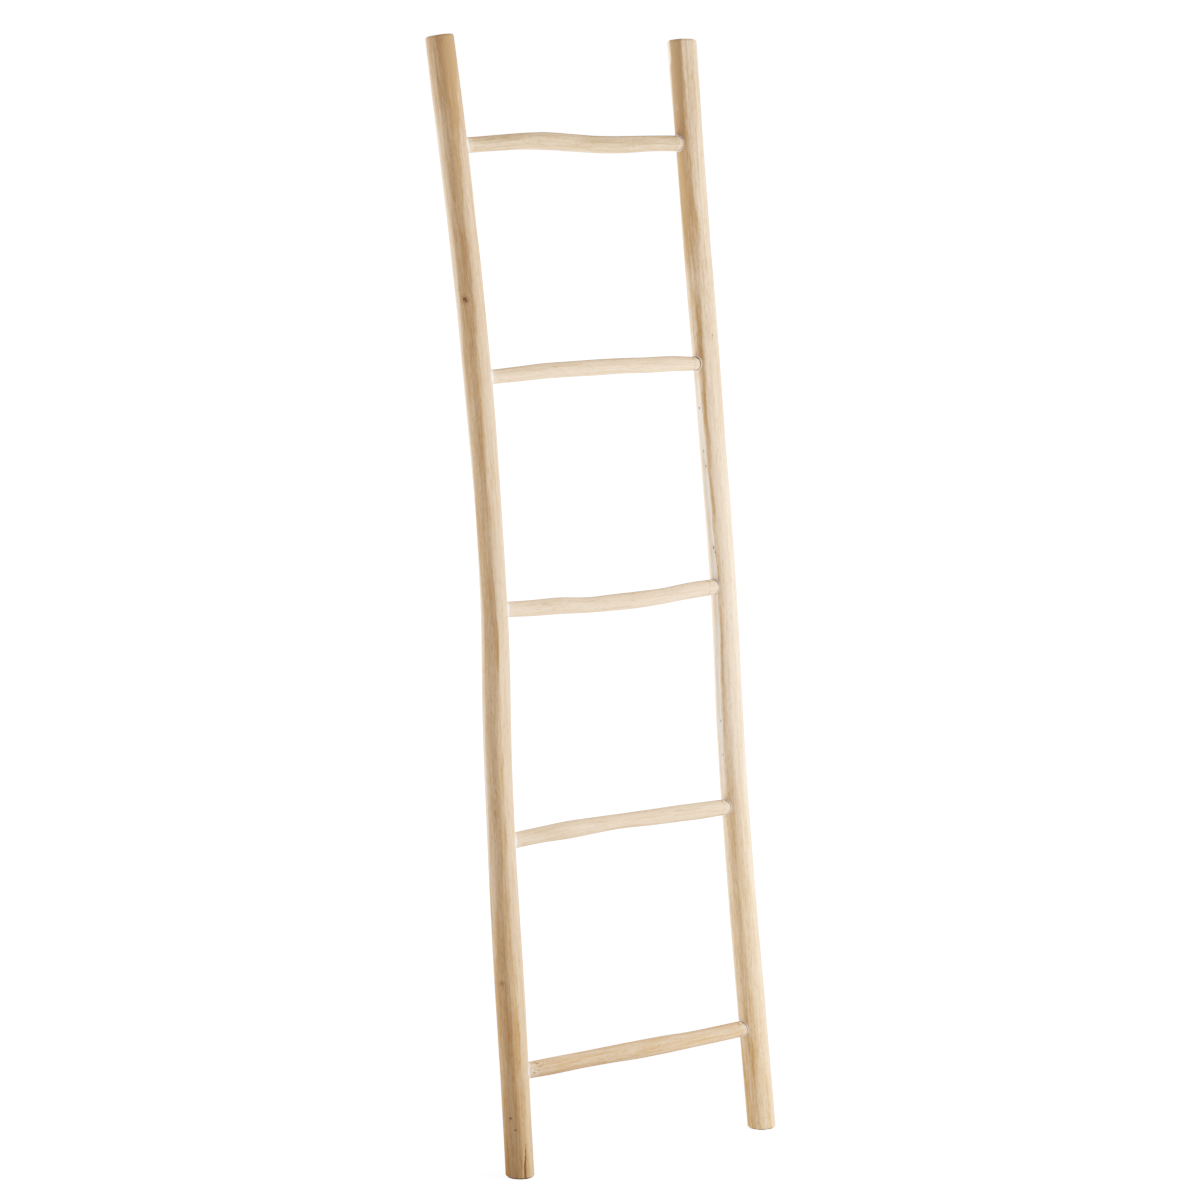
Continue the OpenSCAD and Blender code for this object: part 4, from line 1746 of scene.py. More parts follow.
@dataclass
class FillerBead:
    """Dried filler squeezed out round one rung where it enters its pole."""

    joint: Joint
    rung: Rung
    around: int = 120
    sleeve: float = 0.004
    skin: float = 0.12 * MM
    # Loops that get painted shade in the crevice beside the rung.
    dirty_loops: tuple[float, ...] = (1.0, 1.0, 1.0, 1.0, 1.0, 1.0, 0.9)

    @property
    def seed(self) -> int:
        """Picks the bead's own waves."""
        return 100 + 10 * self.joint.place.value + self.joint.side.value

    def widths(self, turn: Array) -> tuple[Array, Array, Array]:
        """How wide the bead is round its mouth.

        Args:
            turn: Angles round the rung's line.

        Returns:
            How far it reaches over the pole and over the rung from the shoulder, and its bulge.
        """
        uneven, lumpy = patchy(self.seed, turn, (1, 2, 3)), patchy(self.seed + 1, turn, (5, 8, 11))
        size = 0.55 * uneven + 0.45 * lumpy
        if self.joint.left:
            wiped = np.clip(-np.cos(turn), 0, 1) ** 1.5
            pole = 0.5 + 0.9 * size + (5.4 + 1.8 * uneven) * wiped
            return pole * MM, (0.3 + 0.9 * size) * MM, (0.1 + 0.3 * lumpy) * MM
        return (1.8 + 0.9 * size) * MM, (-0.6 + 0.3 * size) * MM, (0.1 + 0.25 * lumpy) * MM

    def crevice_shade(self, turn: Array, loops: int) -> Array:
        """Painted shade on the bead in the crevice beside the rung, stronger on its upper side, by angle and loop."""
        inwards = np.zeros(loops)
        if not self.joint.left:
            inwards[:len(self.dirty_loops)] = self.dirty_loops
        uneven = 0.75 + 0.25 * wander(self.seed + 2, turn, turn * 0, (2, 5), 1.0)
        return (inwards * (uneven * (0.7 + 0.3 * np.sin(turn)))[:, None]).ravel()

    def on_pole(self, turn: Array, radius: Array, lift: Array) -> Array:
        """Points so far from the rung's line and so far over the pole's surface there.

        Args:
            turn: Angles round the rung's line.
            radius: Distances from the line.
            lift: Distances out of the surface.

        Returns:
            The points on the upright ladder.
        """
        out, wall, up = self.joint.axes()
        y, z = radius * np.cos(turn), radius * np.sin(turn)
        along = (self.joint.surface(y, z) + lift)[:, None] * out
        return self.joint.on_axis(0) + (y[:, None] * wall + z[:, None] * up + along)

    def on_rung(self, turn: Array, lift: Array, gap: float) -> Array:
        """Points on the rung's own surface, so far over the pole's surface.

        Args:
            turn: Angles round the rung's line.
            lift: Distances out of the pole's surface.
            gap: How far the points are raised off the rung.

        Returns:
            The points on the upright ladder.
        """
        joint, rung, sizes = self.joint, self.rung, self.joint.sizes
        out, wall, up = joint.axes()
        tip = rung.tip_radius(joint.side)
        y, z = tip * np.cos(turn), tip * np.sin(turn)
        along = (joint.surface(y, z) + lift)[:, None] * out
        start, axes = rung.frame_axes()
        local = (joint.on_axis(0) + y[:, None] * wall + z[:, None] * up + along - start) @ axes.T
        angle = np.arctan2(local[:, 1], local[:, 0])
        near = lift - sizes.shoulder_gap
        inside, near = near < 0, np.maximum(near, 0)
        place = near if joint.left else rung.body - near
        bend, full = rung.full(place, angle)
        radius = np.where(inside, sizes.tenon_d / 2, rung.whittled(full, place, angle)) + gap
        local[:, 0] = radius * np.cos(angle) - np.where(inside, 0, bend[:, 0] * sizes.rung_bow)
        local[:, 1] = radius * np.sin(angle) + np.where(inside, 0, bend[:, 1] * sizes.rung_sway)
        return start + local @ axes

    def loops(self, turn: Array) -> Array:
        """The bead's loops, from its sleeve in the mortise over the rung and the pole and back.

        Args:
            turn: Angles round the rung's line.

        Returns:
            Points of the upright ladder as loops, angles, 3.
        """
        joint = self.joint
        pole_w, rung_w, bulge = self.widths(turn)
        mouth, tip = joint.mouth_d / 2, self.rung.tip_radius(joint.side)
        tenon, edge, flat = joint.sizes.tenon_d / 2 - 0.05 * MM, tip + pole_w, turn * 0
        foot = [self.on_pole(turn, tenon + flat, flat - self.sleeve)]
        foot += [self.on_rung(turn, lift, gap) for lift, gap in (
            (np.minimum(rung_w, 0) - 0.2 * MM, -0.15 * MM), (rung_w * 0.6, -self.skin),
            (rung_w, -0.08 * MM), (rung_w * 0.96, self.skin))]
        top, side = foot[-1], self.on_pole(turn, edge - 0.15 * MM, 0.25 * MM + flat)
        if joint.left:
            corner = self.on_pole(turn, tip + 0.8 * MM + flat, 0.4 * MM + bulge)
            curve = [
                (1 - share) ** 2 * top + 2 * share * (1 - share) * corner + share**2 * side
                for share in (0.2, 0.4, 0.6, 0.8)]
        else:
            curve = [self.on_pole(turn, tip + share * pole_w, low * MM + high * bulge) for share, low, high in (
                (-0.1, -0.2, 0.0), (0.38, 0.0, 0.0), (0.52, 0.25, 1.0), (0.85, 0.25, 0.7))]
        rim = [self.on_pole(turn, radius + flat, lift + flat) for radius, lift in (
            (edge, -self.skin), (mouth + 0.15 * MM, -0.3 * MM), (mouth - 0.1 * MM, -self.sleeve))]
        return np.stack([*foot, *curve, side, *rim])

    def dress(self, finish: Material) -> None:
        """Builds the bead and puts it in its place.

        Args:
            finish: Finish of the filler.
        """
        turn, name = ring_angles(self.around), f"{self.joint.side.word}_{self.joint.place.word}"
        loops = self.loops(turn)
        mesh = MeshMaker.sewn(f"bead_{name}", self.joint.sizes.leaned(loops.transpose(1, 0, 2)))
        points = MeshMaker.points_of(mesh)
        # The tone noted on the bead is painted shade in its crevice.
        MeshMaker.note(mesh, points + self.seed * 0.01, tone=self.crevice_shade(turn, len(loops)))
        MeshMaker.face_out(mesh)
        MeshMaker.smooth(mesh, 60)
        MeshMaker.place(mesh, (finish,), "joint_filler", f"filler_{name}")


@dataclass
class PinPlugs:
    """Plugs of wood paste over the pins of one pole, sanded nearly flush."""

    joints: Sequence[Joint]
    around: int = 40
    slack: float = 0.12 * MM
    levels: Rows = ((1.0, 3.4), (1.0, 0.25), (0.93, 0.08), (0.8, 0.0), (0.55, -0.05), (0.3, -0.08), (0.08, -0.05))

    def dress(self, finish: Material) -> None:
        """Builds the plugs of the pole as one piece and puts them in their place.

        Args:
            finish: Finish of the paste.
        """
        pole, sizes, n = self.joints[0].pole, self.joints[0].sizes, self.around
        points: list[Array] = []
        faces: list[list[int]] = []
        turn = math.tau * np.arange(n) / n
        edge, count = sizes.plug_d / 2 - self.slack, len(self.levels)
        for joint in self.joints:
            seat, _ = joint.plug_seat()
            base = len(points) * n
            for share, sink in self.levels:
                x, z = seat[0] + edge * share * np.cos(turn), seat[2] + edge * share * np.sin(turn)
                points.append(np.stack([x, self.back_of(pole, x, z) - sink * MM, z], -1))
            for low in range(base, base + (count - 1) * n, n):
                for k in range(n):
                    after, high = (k + 1) % n, low + n
                    faces.append([low + k, high + k, high + after, low + after])
            faces.append([base + k for k in range(n)])
            faces.append([base + (count - 1) * n + k for k in reversed(range(n))])
        leaned = sizes.leaned(np.concatenate(points))
        mesh = MeshMaker.made(f"plugs_{pole.side.word}", leaned.tolist(), faces)
        MeshMaker.face_out(mesh)
        MeshMaker.note(mesh, MeshMaker.points_of(mesh))
        MeshMaker.smooth(mesh, 50)
        MeshMaker.place(mesh, (finish,), "pin_plug", f"{pole.side.word}_pin_plugs")

    @staticmethod
    def back_of(pole: Pole, x: Array, z: Array) -> Array:
        """How far back a pole's dressed surface lies at places on its back.

        Args:
            pole: The pole.
            x: Places across the ladder.
            z: Heights.

        Returns:
            The distances back.
        """
        middle = pole.centre(z)
        across, radius = x - middle[:, 0], pole.thickness / 2
        for _ in range(4):
            depth = np.sqrt(np.maximum(radius**2 - across**2, 1e-8))
            radius = pole.dressed(z, np.arctan2(depth, across))
        return middle[:, 1] + depth


@dataclass(frozen=True)
class Patch:
    """A soft bright patch of the studio's white walls, or of its floor.

    Args:
        angle: Where it lies from the ladder, in degrees from the right towards the wall behind.
        wall: How bright the wall is there.
        floor: How bright the floor is there.
    """

    angle: float
    wall: float
    floor: float

    def towards(self, rise: float) -> Vector:
        """Direction of the patch from the ladder."""
        turn = math.radians(self.angle)
        return Vector((math.cos(turn), math.sin(turn), rise)).normalized()


@dataclass(frozen=True)
class Studio:
    """Pale floor, soft light and the camera."""

    camera_at: Colour = (-3.147, -4.634, 1.701)
    yaw: float = math.radians(34.097)
    pitch: float = math.radians(8.222)
    lens: float = 105.0
    white: float = 3.2
    dim: float = 0.12
    wall_rise: float = 0.21
    patches: tuple[Patch, ...] = (
        Patch(0, 2.8, 0.6), Patch(90, 2.5, 4.6), Patch(135, 2.9, 4.7), Patch(270, 0.9, 0.8), Patch(315, 1.8, 2.6))
    ceiling: float = 1.25
    floor_half: float = 40.0
    key_at: Colour = (1.4, -1.7, 1.0)
    key_aim: Colour = (0.0, 0.0, 0.9)
    key_size: tuple[float, float] = (1.1, 0.9)
    key_watts: float = 50.0
    tone_curve: Rows = (
        (0.0, 0.0), (0.1, 0.098), (0.2, 0.19), (0.4, 0.352), (0.7, 0.525), (1.0, 0.645), (1.5, 0.785),
        (2.0, 0.875), (3.0, 1.0))

    def light_level(self, board: NodeBoard, way: Any, on_floor: bool) -> NodeSocket:
        """Brightness of the walls or the floor in a direction from the ladder.

        Args:
            board: Board on the tree.
            way: The direction.
            on_floor: Whether it is the floor's.

        Returns:
            The brightness.
        """
        level: Any = self.dim
        rise, narrow = (0.0, 3.0) if on_floor else (self.wall_rise, 6.0)
        for patch in self.patches:
            dot = board.node("VectorMath", way, patch.towards(rise), operation="DOT_PRODUCT").outputs["Value"]
            share = board.math("POWER", board.math("MAXIMUM", dot, 0.0), narrow)
            level = board.plus(level, board.times(share, patch.floor if on_floor else patch.wall))
        if on_floor:
            return level
        over = board.math("MAXIMUM", board.node("SeparateXYZ", way).outputs[2], 0.0)
        return board.plus(level, board.times(board.math("POWER", over, narrow), self.ceiling))

    def floor(self) -> None:
        """A wide pale floor whose edge is too far away to show. It glows: unevenly as light that it throws on the
        ladder, and more brightly to the camera, so that it shows near white.
        """
        half = self.floor_half
        corners = [(-half, -half, 0), (half, -half, 0), (half, half, 0), (-half, half, 0)]
        mesh = MeshMaker.made("studio_floor", corners, [(0, 1, 2, 3)])
        material, board, shader = new_material("studio_floor", 0.0)
        shader.inputs["Roughness"].default_value = 0.9
        place = board.node("TexCoord").outputs["Object"]
        away = board.node("VectorMath", place, operation="LENGTH").outputs["Value"]
        way = board.vector("NORMALIZE", place)
        glow = board.times(self.light_level(board, way, True), board.span(away, 0.1, 2.0, 0.5, 1.0))
        seen = board.node("LightPath").outputs["Is Camera Ray"]
        shown = board.span(away, 0.2, 2.0, 2.1, self.white)
        board.feed(shader.inputs["Base Color"], board.blend(seen, (0.12, 0.12, 0.12), (0.8, 0.8, 0.8)))
        shader.inputs["Emission Color"].default_value = (1.0, 1.0, 1.0, 1.0)
        board.feed(shader.inputs["Emission Strength"], self.choice(board, seen, shown, glow))
        mesh.materials.append(material)
        floor = in_scene("studio_floor", mesh)

    @staticmethod
    def choice(board: NodeBoard, share: Any, first: Any, second: Any) -> NodeSocket:
        """First value where share is 1, second where it is 0."""
        return board.plus(board.times(share, first), board.times(board.minus(1.0, share), second))

    def key_light(self) -> None:
        """The large soft lamp on the right, which doesn't show itself."""
        lamp = bpy.data.lights.new("key", "AREA")
        lamp.shape, lamp.energy = "RECTANGLE", self.key_watts
        lamp.size, lamp.size_y = self.key_size
        holder = in_scene("key", lamp)
        holder.location = self.key_at
        holder.rotation_euler = (Vector(self.key_aim) - Vector(self.key_at)).to_track_quat("-Z", "Y").to_euler()
        holder.visible_camera = False

    def surroundings(self) -> None:
        """White walls that light the ladder unevenly and show as plain white."""
        world = bpy.data.worlds.new("white studio")
        bpy.context.scene.world = world
        world.use_nodes = True
        board = NodeBoard(world.node_tree)
        back = world.node_tree.nodes["Background"]
        level = self.light_level(board, board.node("TexCoord").outputs["Generated"], False)
        seen = board.node("LightPath").outputs["Is Camera Ray"]
        board.feeds(back, {"Color": (1.0, 1.0, 1.0, 1.0), "Strength": self.choice(board, seen, self.white, level)})

    def camera(self) -> None:
        """The camera at the photograph's place and angle."""
        data = bpy.data.cameras.new("camera")
        data.lens, data.sensor_width, data.clip_end = self.lens, 36.0, 200.0
        holder = in_scene("camera", data)
        holder.location = self.camera_at
        level = math.cos(self.pitch)
        forward = Vector((math.sin(self.yaw) * level, math.cos(self.yaw) * level, -math.sin(self.pitch)))
        holder.rotation_euler = forward.to_track_quat("-Z", "Y").to_euler()
        bpy.context.scene.camera = holder

    def tones(self) -> None:
        """A soft film-like curve, so that bright wood turns pale before it turns white."""
        view = bpy.context.scene.view_settings
        view.view_transform = "Standard"
        view.use_curve_mapping = True
        mapping = view.curve_mapping
        top = self.tone_curve[-1][0]
        mapping.black_level, mapping.white_level = (0.0, 0.0, 0.0), (top, top, top)
        curve = mapping.curves[3]
        curve.points[0].location, curve.points[-1].location = (0.0, 0.0), (1.0, 1.0)
        for bright, shown in self.tone_curve[1:-1]:
            curve.points.new(bright / top, shown)
        mapping.update()

    def build(self) -> None:
        """Sets up the floor, the light, the tones and the camera."""
        for step in (self.floor, self.surroundings, self.key_light, self.camera, self.tones):
            step()
            log.info("studio: %s", step.__name__)


RUNG_SKEW = ((-0.6, 0.3), (-0.4, 1.0), (-0.4, 0.5), (0.0, 1.0), (0.0, 0.0))

POLE_STATIONS = {
    Side.LEFT: (
        (-0.7, 0, 1.01), (-0.4, 0.2, 1.03), (-0.2, 0, 1.01), (0.1, -0.6, 1), (0.9, -1, 0.95),
        (1, -1, 0.98), (0.8, -0.6, 0.99), (0.2, -0.2, 1.02), (-0.65, 0, 1)),
    Side.RIGHT: (
        (1.3, 0, 1.02), (0.2, -0.2, 1.02), (-0.6, -0.4, 0.99), (-0.4, -0.2, 0.99), (1.1, 0.4, 0.95),
        (1, 0.8, 0.98), (0.5, 0.8, 1.02), (-0.4, 0.4, 1.03), (-1.1, -0.2, 1.09)),
}

RUNG_STATIONS = {
    RungPlace.BOTTOM: (
        (0, 0, 1), (-0.1, 0.5, 1.04), (-0.1, 1, 1.01), (-0.1, 0.5, 1.04), (-0.2, 0, 1.1),
        (-0.2, -0.5, 1.1), (-0.3, -0.5, 1.02), (-0.2, 0, 1.01), (0, 0, 1)),
    RungPlace.SECOND: (
        (0, 0, 0.96), (0.5, -0.5, 0.99), (0.7, -1, 1.08), (0.8, -0.5, 1), (0.8, 0, 0.94),
        (0.5, 0.5, 1.01), (0.3, 1, 1.06), (0.1, 0.5, 1.06), (0, 0, 1)),
    RungPlace.MIDDLE: (
        (0, 0, 0.95), (-0.4, 0.5, 0.99), (-0.6, 0, 1.04), (-1.3, -0.5, 0.98), (-1.4, -1, 1.03),
        (-1.4, -1, 1.05), (-1.1, 0, 0.99), (-0.4, 0.5, 1.01), (0, 0, 0.98)),
    RungPlace.FOURTH: (
        (0, 0, 0.9), (0.4, 0.5, 0.94), (0.8, 0.5, 0.98), (0.9, 0, 0.98), (0.9, -0.5, 1.01),
        (0.9, -1, 0.97), (0.6, -0.5, 0.98), (0.5, 0, 0.97), (0, 0, 0.88)),
    RungPlace.TOP: (
        (0, 0, 0.96), (0.6, -0.5, 0.97), (1.1, -1, 1), (1.1, -0.5, 1.07), (0.5, 0.5, 1.06),
        (-0.1, 1, 1.05), (-0.2, 1, 1.04), (0.1, 0.5, 0.98), (0, 0, 1)),
}

# Depth and warmth of each rung's colour.
RUNG_TONES = {
    RungPlace.BOTTOM: (0.5, 0.95), RungPlace.SECOND: (0.1, 0.6), RungPlace.MIDDLE: (0.08, 0.3),
    RungPlace.FOURTH: (0.14, 0.4), RungPlace.TOP: (0.52, 0.0)}

# How far up each rung's left and right tip the knife went, against the usual.
KNIFE_REACH = {
    RungPlace.BOTTOM: (1.3, 0.9), RungPlace.SECOND: (0.6, 1.1), RungPlace.MIDDLE: (0.6, 1.5),
    RungPlace.FOURTH: (0.6, 0.8), RungPlace.TOP: (0.6, 0.6)}

# How much wider than its mortise each rung's left and right mouth is worn, in millimetres.
MOUTH_WEAR = {
    RungPlace.BOTTOM: (0.4, 2.4), RungPlace.SECOND: (0.4, 2.0), RungPlace.MIDDLE: (0.4, 2.2),
    RungPlace.FOURTH: (0.4, 1.8), RungPlace.TOP: (0.4, 1.6)}

POLE_BANDS = {
    Side.LEFT: (
        # The first two bands deepen the side away from the key light and the left edge below: partly the wood's deeper
        # colour, partly painted shade.
        Band(0.0, 1.807, (150, 150, 205, 194, 174, 174, 190, 200, 198),
             (276, 270, 260, 260, 250, 246, 254, 258, 312), 0.44, (16, 5), (0.0, 0.0)),
        Band(0.0, 0.86, (150, 150, 150, 150, 150), (192, 186, 176, 176, 176), 0.4, (20, 10), (0.0, 0.05)),
        Band(0.15, 0.30, (215, 215, 215), (262, 268, 262), 0.2, (30, 20)),
        Band(1.55, 1.807, (198, 198), (236, 236), -0.34, (14, 22), (0.08, 0.0)),
        Band(1.62, 1.807, (262, 258), (330, 330), 0.15, (14, 6), (0.06, 0.0)),
        Band(1.66, 1.807, (206, 204), (256, 262), 0.12, (16, 14), (0.06, 0.0)),
        Band(1.28, 1.47, (196, 200, 204), (228, 232, 226), 0.08, (16, 10)),
        Band(0.58, 0.88, (250, 250, 246, 242), (260.5, 260, 256, 252), 0.26, (7, 3)),
        Band(0.58, 0.86, (212, 214), (246, 244), -0.13, (16, 10)),
        Band(0.22, 0.50, (150, 150), (220, 222), 0.13, (20, 10)),
        Band(0.22, 0.50, (226, 226), (243, 243), -0.16, (8, 8)),
        # Deeper round the right side and the back, where the light is brightest: painted shade.
        Band(0.0, 1.807, (8, -4, 14, 0, 10, 4), (112, 96, 120, 104, 118, 108), 0.46, (36, 26), (0.0, 0.0)),
    ),
    Side.RIGHT: (
        Band(1.36, 1.803, (192, 177, 170, 177, 188), (252, 245, 237, 234, 236), 0.4, (10, 8), (0.18, 0.0)),
        Band(1.40, 1.803, (165, 165, 168, 172), (206, 204, 206, 208), 0.26, (10, 24), (0.05, 0.0)),
        Band(1.62, 1.803, (178, 178), (226, 232), 0.46, (14, 18), (0.06, 0.0)),
        Band(1.755, 1.803, (138, 138), (182, 186), -0.9, (6, 10), (0.02, 0.0)),
        Band(0.55, 1.35, (280, 280), (330, 330), 0.14, (20, 6), (0.2, 0.1)),
        # Narrow deep band beside the long flute: painted shade on the dark side of the ridge there.
        Band(0.50, 1.41, (203, 204, 205, 207, 203), (217, 222, 220, 225, 230), 0.56, (5, 10), (0.42, 0.05)),
        Band(0.12, 0.62, (200, 200, 198), (216, 222, 220), 0.18, (12, 20), (0.1, 0.1)),
        Band(0.0, 0.165, (165, 165), (228, 232), 0.28, (10, 16), (0.0, 0.03)),
        # Deeper round the right side and the back, where the light is brightest: painted shade.
        Band(0.0, 1.803, (20, 6, 0, 14, 2, 24), (96, 112, 122, 104, 118, 100), 0.52, (36, 26), (0.0, 0.0)),
    ),
}

# Kind, place, angle, then size, reach and depth in millimetres, stain, turn and bow.
POLE_MARKS = {
    Side.LEFT: marks_of(
        (Kind.KNOT, 1.797, 243, 3.2, 4.0, 0.3, 0.75),
        (Kind.PIN_KNOT, 1.791, 242, 1.3, 0, 0.2, 0.6),
        (Kind.KNOT, 1.391, 217, 7.0, 5.6, 0.45, 1.0),
        (Kind.PIT, 1.388, 223, 1.1, 3.6, 0.8, 1.0, 18),
        (Kind.PIN_KNOT, 1.392, 210, 1.7, 2.4, 0.3, 0.85),
        (Kind.STAIN, 1.399, 222, 1.4, 3.4, 0.1, 0.45),
        (Kind.PIN_KNOT, 1.060, 213, 1.5, 2.2, 0.3, 0.75),
        (Kind.KNOT, 0.865, 218, 3.0, 5.0, 0.25, 0.45),
        (Kind.GOUGE, 0.804, 156, 1.8, 14, 1.2, 0.9, -12),
        (Kind.KNOT, 0.742, 220, 3.4, 4.0, 0.4, 0.35),
        (Kind.STAIN, 0.664, 262, 1.3, 13, 0.1, 0.8),
        (Kind.KNOT, 0.579, 219, 3.4, 6.0, 0.4, 0.55),
        (Kind.KNOT, 0.310, 210, 5.4, 6.2, 0.4, 0.72),
        (Kind.PIN_KNOT, 0.243, 266, 1.8, 2.6, 0.25, 0.65),
        (Kind.PIN_KNOT, 0.194, 282, 1.6, 2.4, 0.25, 0.6),
        (Kind.PIT, 0.096, 213, 2.6, 2.2, 0.8, 0.95),
        (Kind.PIT, 0.077, 230, 2.8, 1.5, 0.7, 1.0),
        (Kind.PIT, 0.041, 288, 1.3, 2.2, 0.5, 0.7),
        (Kind.CRACK, 0.022, 259, 3.9, 38, 2.6, 0.8, 17),
        (Kind.FIGURE, 0.572, 222, 9, 62, 0, 0.55),
        (Kind.FIGURE, 0.748, 222, 5, 26, 0, 0.5),
        (Kind.KNOT, 1.21, 60, 3.8, 5.5, 0.4, 0.8),
        (Kind.KNOT, 0.45, 95, 4.2, 6.0, 0.4, 0.75),
        (Kind.PIN_KNOT, 1.55, 120, 1.6, 2.2, 0.3, 0.8)),
    Side.RIGHT: marks_of(
        (Kind.FLUTE, 1.692, 194, 3.4, 9.0, 0.2, 0.32),
        (Kind.PIT, 1.317, 271, 1.3, 2.6, 0.4, 0.75),
        (Kind.PIN_KNOT, 0.681, 279, 1.6, 4.2, 0.2, 0.6),
        (Kind.KNOT, 0.398, 260, 3.2, 4.0, 0.25, 0.42),
        (Kind.PIN_KNOT, 0.382, 251, 1.5, 2.0, 0.2, 0.55),
        (Kind.PIN_KNOT, 0.274, 286, 1.8, 3.2, 0.2, 0.55),
        (Kind.CRACK, 1.324, 270, 1.0, 26, 0.8, 0.7, 4),
        (Kind.FLUTE, 0.915, 185, 4.7, 380, 1.3, 0.9, 2, 13),
        (Kind.PIT, 1.199, 183, 2.0, 2.6, 1.0, 1.0),
        (Kind.PIT, 1.128, 188, 1.7, 2.0, 0.8, 1.0),
        (Kind.PIT, 1.103, 196, 1.8, 2.6, 0.9, 1.0),
        (Kind.PIT, 0.968, 200, 2.0, 3.8, 0.9, 1.0),
        (Kind.PIT, 0.960, 208, 1.7, 2.2, 0.9, 0.95),
        (Kind.PIT, 0.682, 189, 1.8, 2.4, 0.8, 1.0),
        (Kind.PIT, 0.625, 188, 1.8, 2.2, 0.8, 0.95),
        (Kind.PIN_KNOT, 0.244, 208, 1.5, 2.6, 0.3, 0.7),
        (Kind.STAIN, 0.014, 194, 2.2, 4.0, 0, 0.6),
        (Kind.STAIN, 0.012, 222, 2.0, 4.5, 0, 0.55),
        (Kind.STAIN, 0.020, 256, 1.8, 4.0, 0, 0.5),
        (Kind.KNOT, 1.44, 70, 3.8, 5.5, 0.4, 0.8),
        (Kind.KNOT, 0.71, 40, 3.6, 5.0, 0.4, 0.75),
        (Kind.PIN_KNOT, 0.33, 110, 1.6, 2.2, 0.3, 0.8)),
}

RUNG_MARKS = {
    RungPlace.TOP: marks_of((Kind.KNOT, 0.315, 294, 2.4, 3.2, 0.3, 0.7)),
    RungPlace.FOURTH: marks_of(
        (Kind.KNOT, 0.119, 248, 2.6, 3.6, 0.3, 0.65),
        (Kind.PIN_KNOT, 0.031, 320, 1.5, 2.4, 0.3, 0.85)),
    RungPlace.MIDDLE: marks_of(
        (Kind.KNOT, 0.083, 292, 2.2, 3.0, 0.3, 0.6),
        (Kind.KNOT, 0.108, 258, 2.0, 2.8, 0.25, 0.55),
        (Kind.PIN_KNOT, 0.255, 294, 1.6, 2.4, 0.25, 0.6)),
    RungPlace.SECOND: marks_of((Kind.KNOT, 0.30, 100, 2.6, 3.4, 0.3, 0.6)),
    RungPlace.BOTTOM: marks_of(
        (Kind.KNOT, 0.105, 252, 2.4, 3.4, 0.3, 0.6),
        (Kind.PIN_KNOT, 0.246, 256, 1.7, 2.6, 0.3, 0.7),
        (Kind.GOUGE, 0.011, 216, 2.2, 8, 1.0, 0.85, 30),
        (Kind.GOUGE, 0.019, 244, 1.9, 9, 0.8, 0.75, -34),
        (Kind.GOUGE, 0.010, 268, 1.8, 6, 0.8, 0.85, 26),
        (Kind.PIT, 0.005, 284, 2.2, 2.2, 0.8, 0.9)),
}


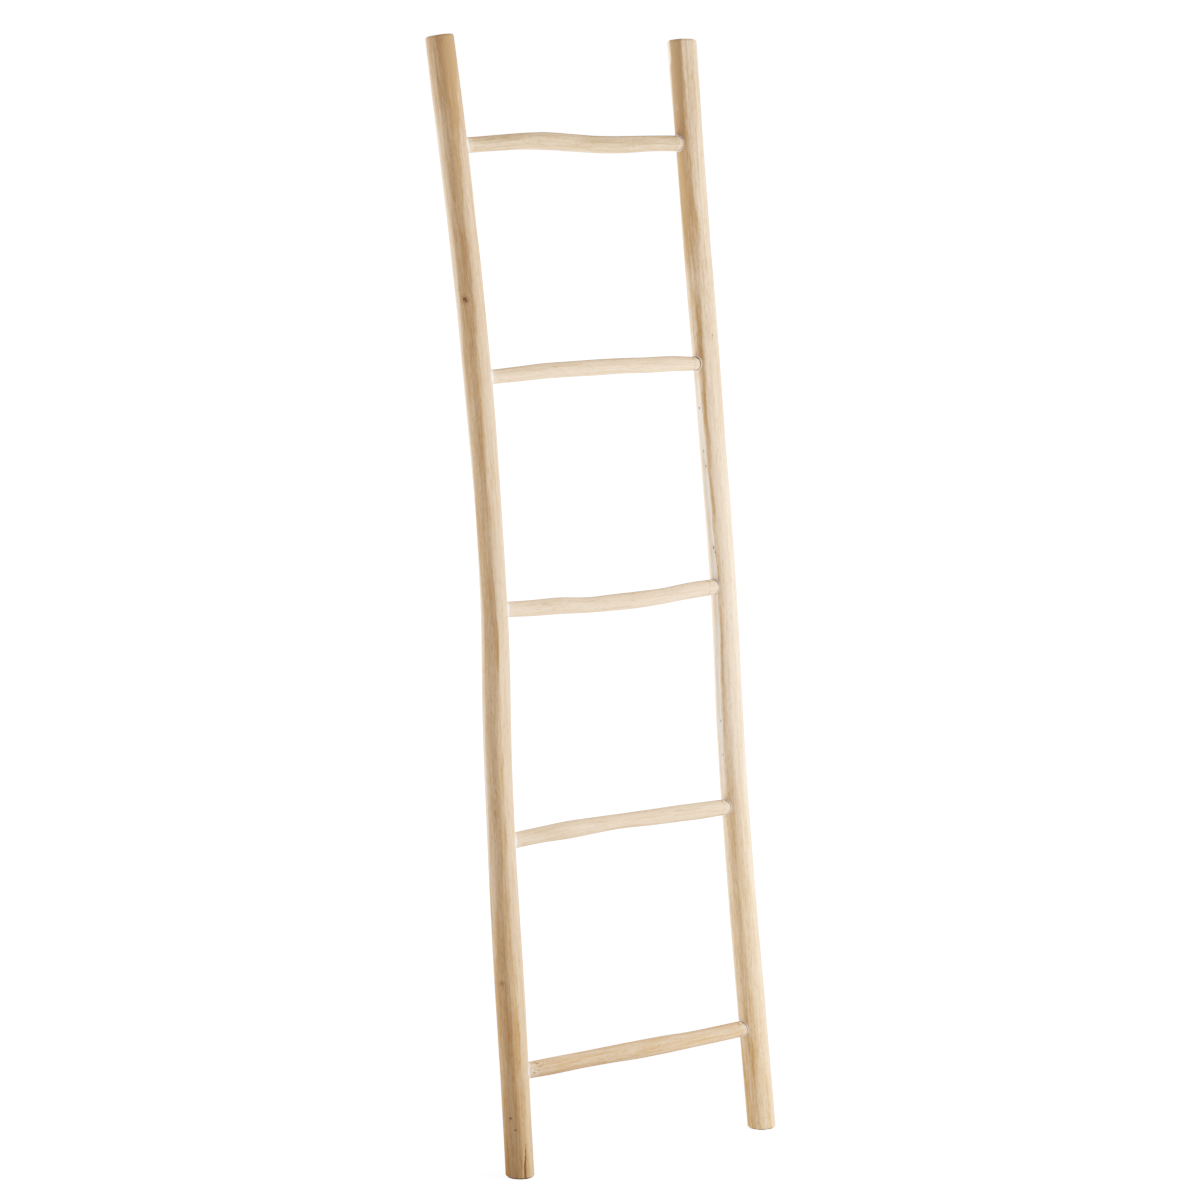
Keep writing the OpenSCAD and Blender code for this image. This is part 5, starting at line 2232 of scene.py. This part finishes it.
@dataclass
class Ladder:
    """The whole ladder, piece by piece."""

    effects: Effects
    sizes: LadderSizes = field(default_factory=LadderSizes)

    def pole(self, side: Side, **own: Any) -> Pole:
        """A pole with the bends, marks and bands of its side and sizes of its own."""
        return Pole(
            side, self.sizes, stations=POLE_STATIONS[side], marks=POLE_MARKS[side], bands=POLE_BANDS[side], **own)

    def poles(self) -> dict[Side, Pole]:
        """The two poles."""
        left = self.pole(
            Side.LEFT, thickness=0.047, bow=0.015, extra=self.sizes.left_extra, top_angle=math.radians(5),
            seed=11, flats=6, flat_turn=212, flatness=(0.2, 0.3, 0.35, 0.45, 0.5, 0.5, 0.4, 0.3, 0.25),
            tones=(0.22, 0.16, 0.1, 0.0, 0.04, 0.1, 0.2, 0.36, 0.68),
            warmth=(1.0, 0.88, 0.78, 0.72, 0.7, 0.6, 0.4, 0.15, 0.0))
        right = self.pole(
            Side.RIGHT, thickness=0.046, bow=0.005, extra=0.0, top_angle=math.radians(2),
            seed=37, flats=7, flat_turn=203, flatness=(0.35, 0.25, 0.2, 0.2, 0.2, 0.25, 0.35, 0.6, 0.6),
            tones=(0.42, 0.37, 0.31, 0.12, 0.02, 0.13, 0.44, 0.52, 0.54),
            warmth=(0.95, 1.0, 0.95, 0.75, 0.8, 0.75, 0.55, 0.4, 0.15))
        return {Side.LEFT: left, Side.RIGHT: right}

    def woods(self) -> tuple[dict[Side, Material], Material]:
        """Finishes of the two poles, and of the rungs."""
        left = BranchFinish(
            "left_pole_wood", (0.74, 0.50, 0.32), (0.42, 0.228, 0.104), (0.51, 0.238, 0.072), (0.0, 0.0, 0.0))
        right = BranchFinish(
            "right_pole_wood", (0.94, 0.68, 0.475), (0.43, 0.258, 0.14), (0.53, 0.265, 0.088), (3.1, 7.7, 1.3))
        rungs = BranchFinish(
            "rung_wood", (0.81, 0.575, 0.385), (0.40, 0.25, 0.125), (0.56, 0.25, 0.075), (9.2, 2.4, 5.1),
            streaks=0.28, lines=0.32, mottle=0.16, fineness=1.1, honey=(1.0, 1.0, 1.0))
        poles = {Side.LEFT: left.make(self.effects), Side.RIGHT: right.make(self.effects)}
        return poles, rungs.make(self.effects)

    def build(self) -> None:
        """Builds and dresses every piece."""
        wood, rung_wood = self.woods()
        ends = EndGrainFinish().make(self.effects)
        filler = PasteFinish(
            "dried_filler", (0.93, 0.91, 0.87), (0.78, 0.74, 0.67), (0.62, 0.5, 0.36), 0.68, 2400.0).make()
        plug = PasteFinish(
            "plug_paste", (0.52, 0.38, 0.235), (0.44, 0.31, 0.18), (0.33, 0.21, 0.11), 0.75, 1900.0).make()
        steel = PinSteelFinish().make()
        poles = self.poles()
        joints = {
            side: [Joint(place, poles[side], poles[side.other]) for place in RungPlace] for side in Side}
        for side in Side:
            poles[side].dress(wood[side], ends, joints[side])
            PinPlugs(joints[side]).dress(plug)
            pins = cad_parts[f"{side.word}_pins"]
            pins.data.materials.clear()
            pins.data.materials.append(steel)
        for place, left, right in zip(RungPlace, *joints.values()):
            rung = Rung(
                place, left, right, RUNG_STATIONS[place], RUNG_MARKS[place], *RUNG_TONES[place],
                KNIFE_REACH[place])
            rung.dress(rung_wood)
            for joint in (left, right):
                FillerBead(joint, rung).dress(filler)


def main() -> None:
    """Builds the studio and the ladder in order."""
    logging.basicConfig(level=logging.INFO, format="%(name)s: %(message)s")
    Studio().build()
    Ladder(Effects()).build()


if __name__ == "__main__":
    main()
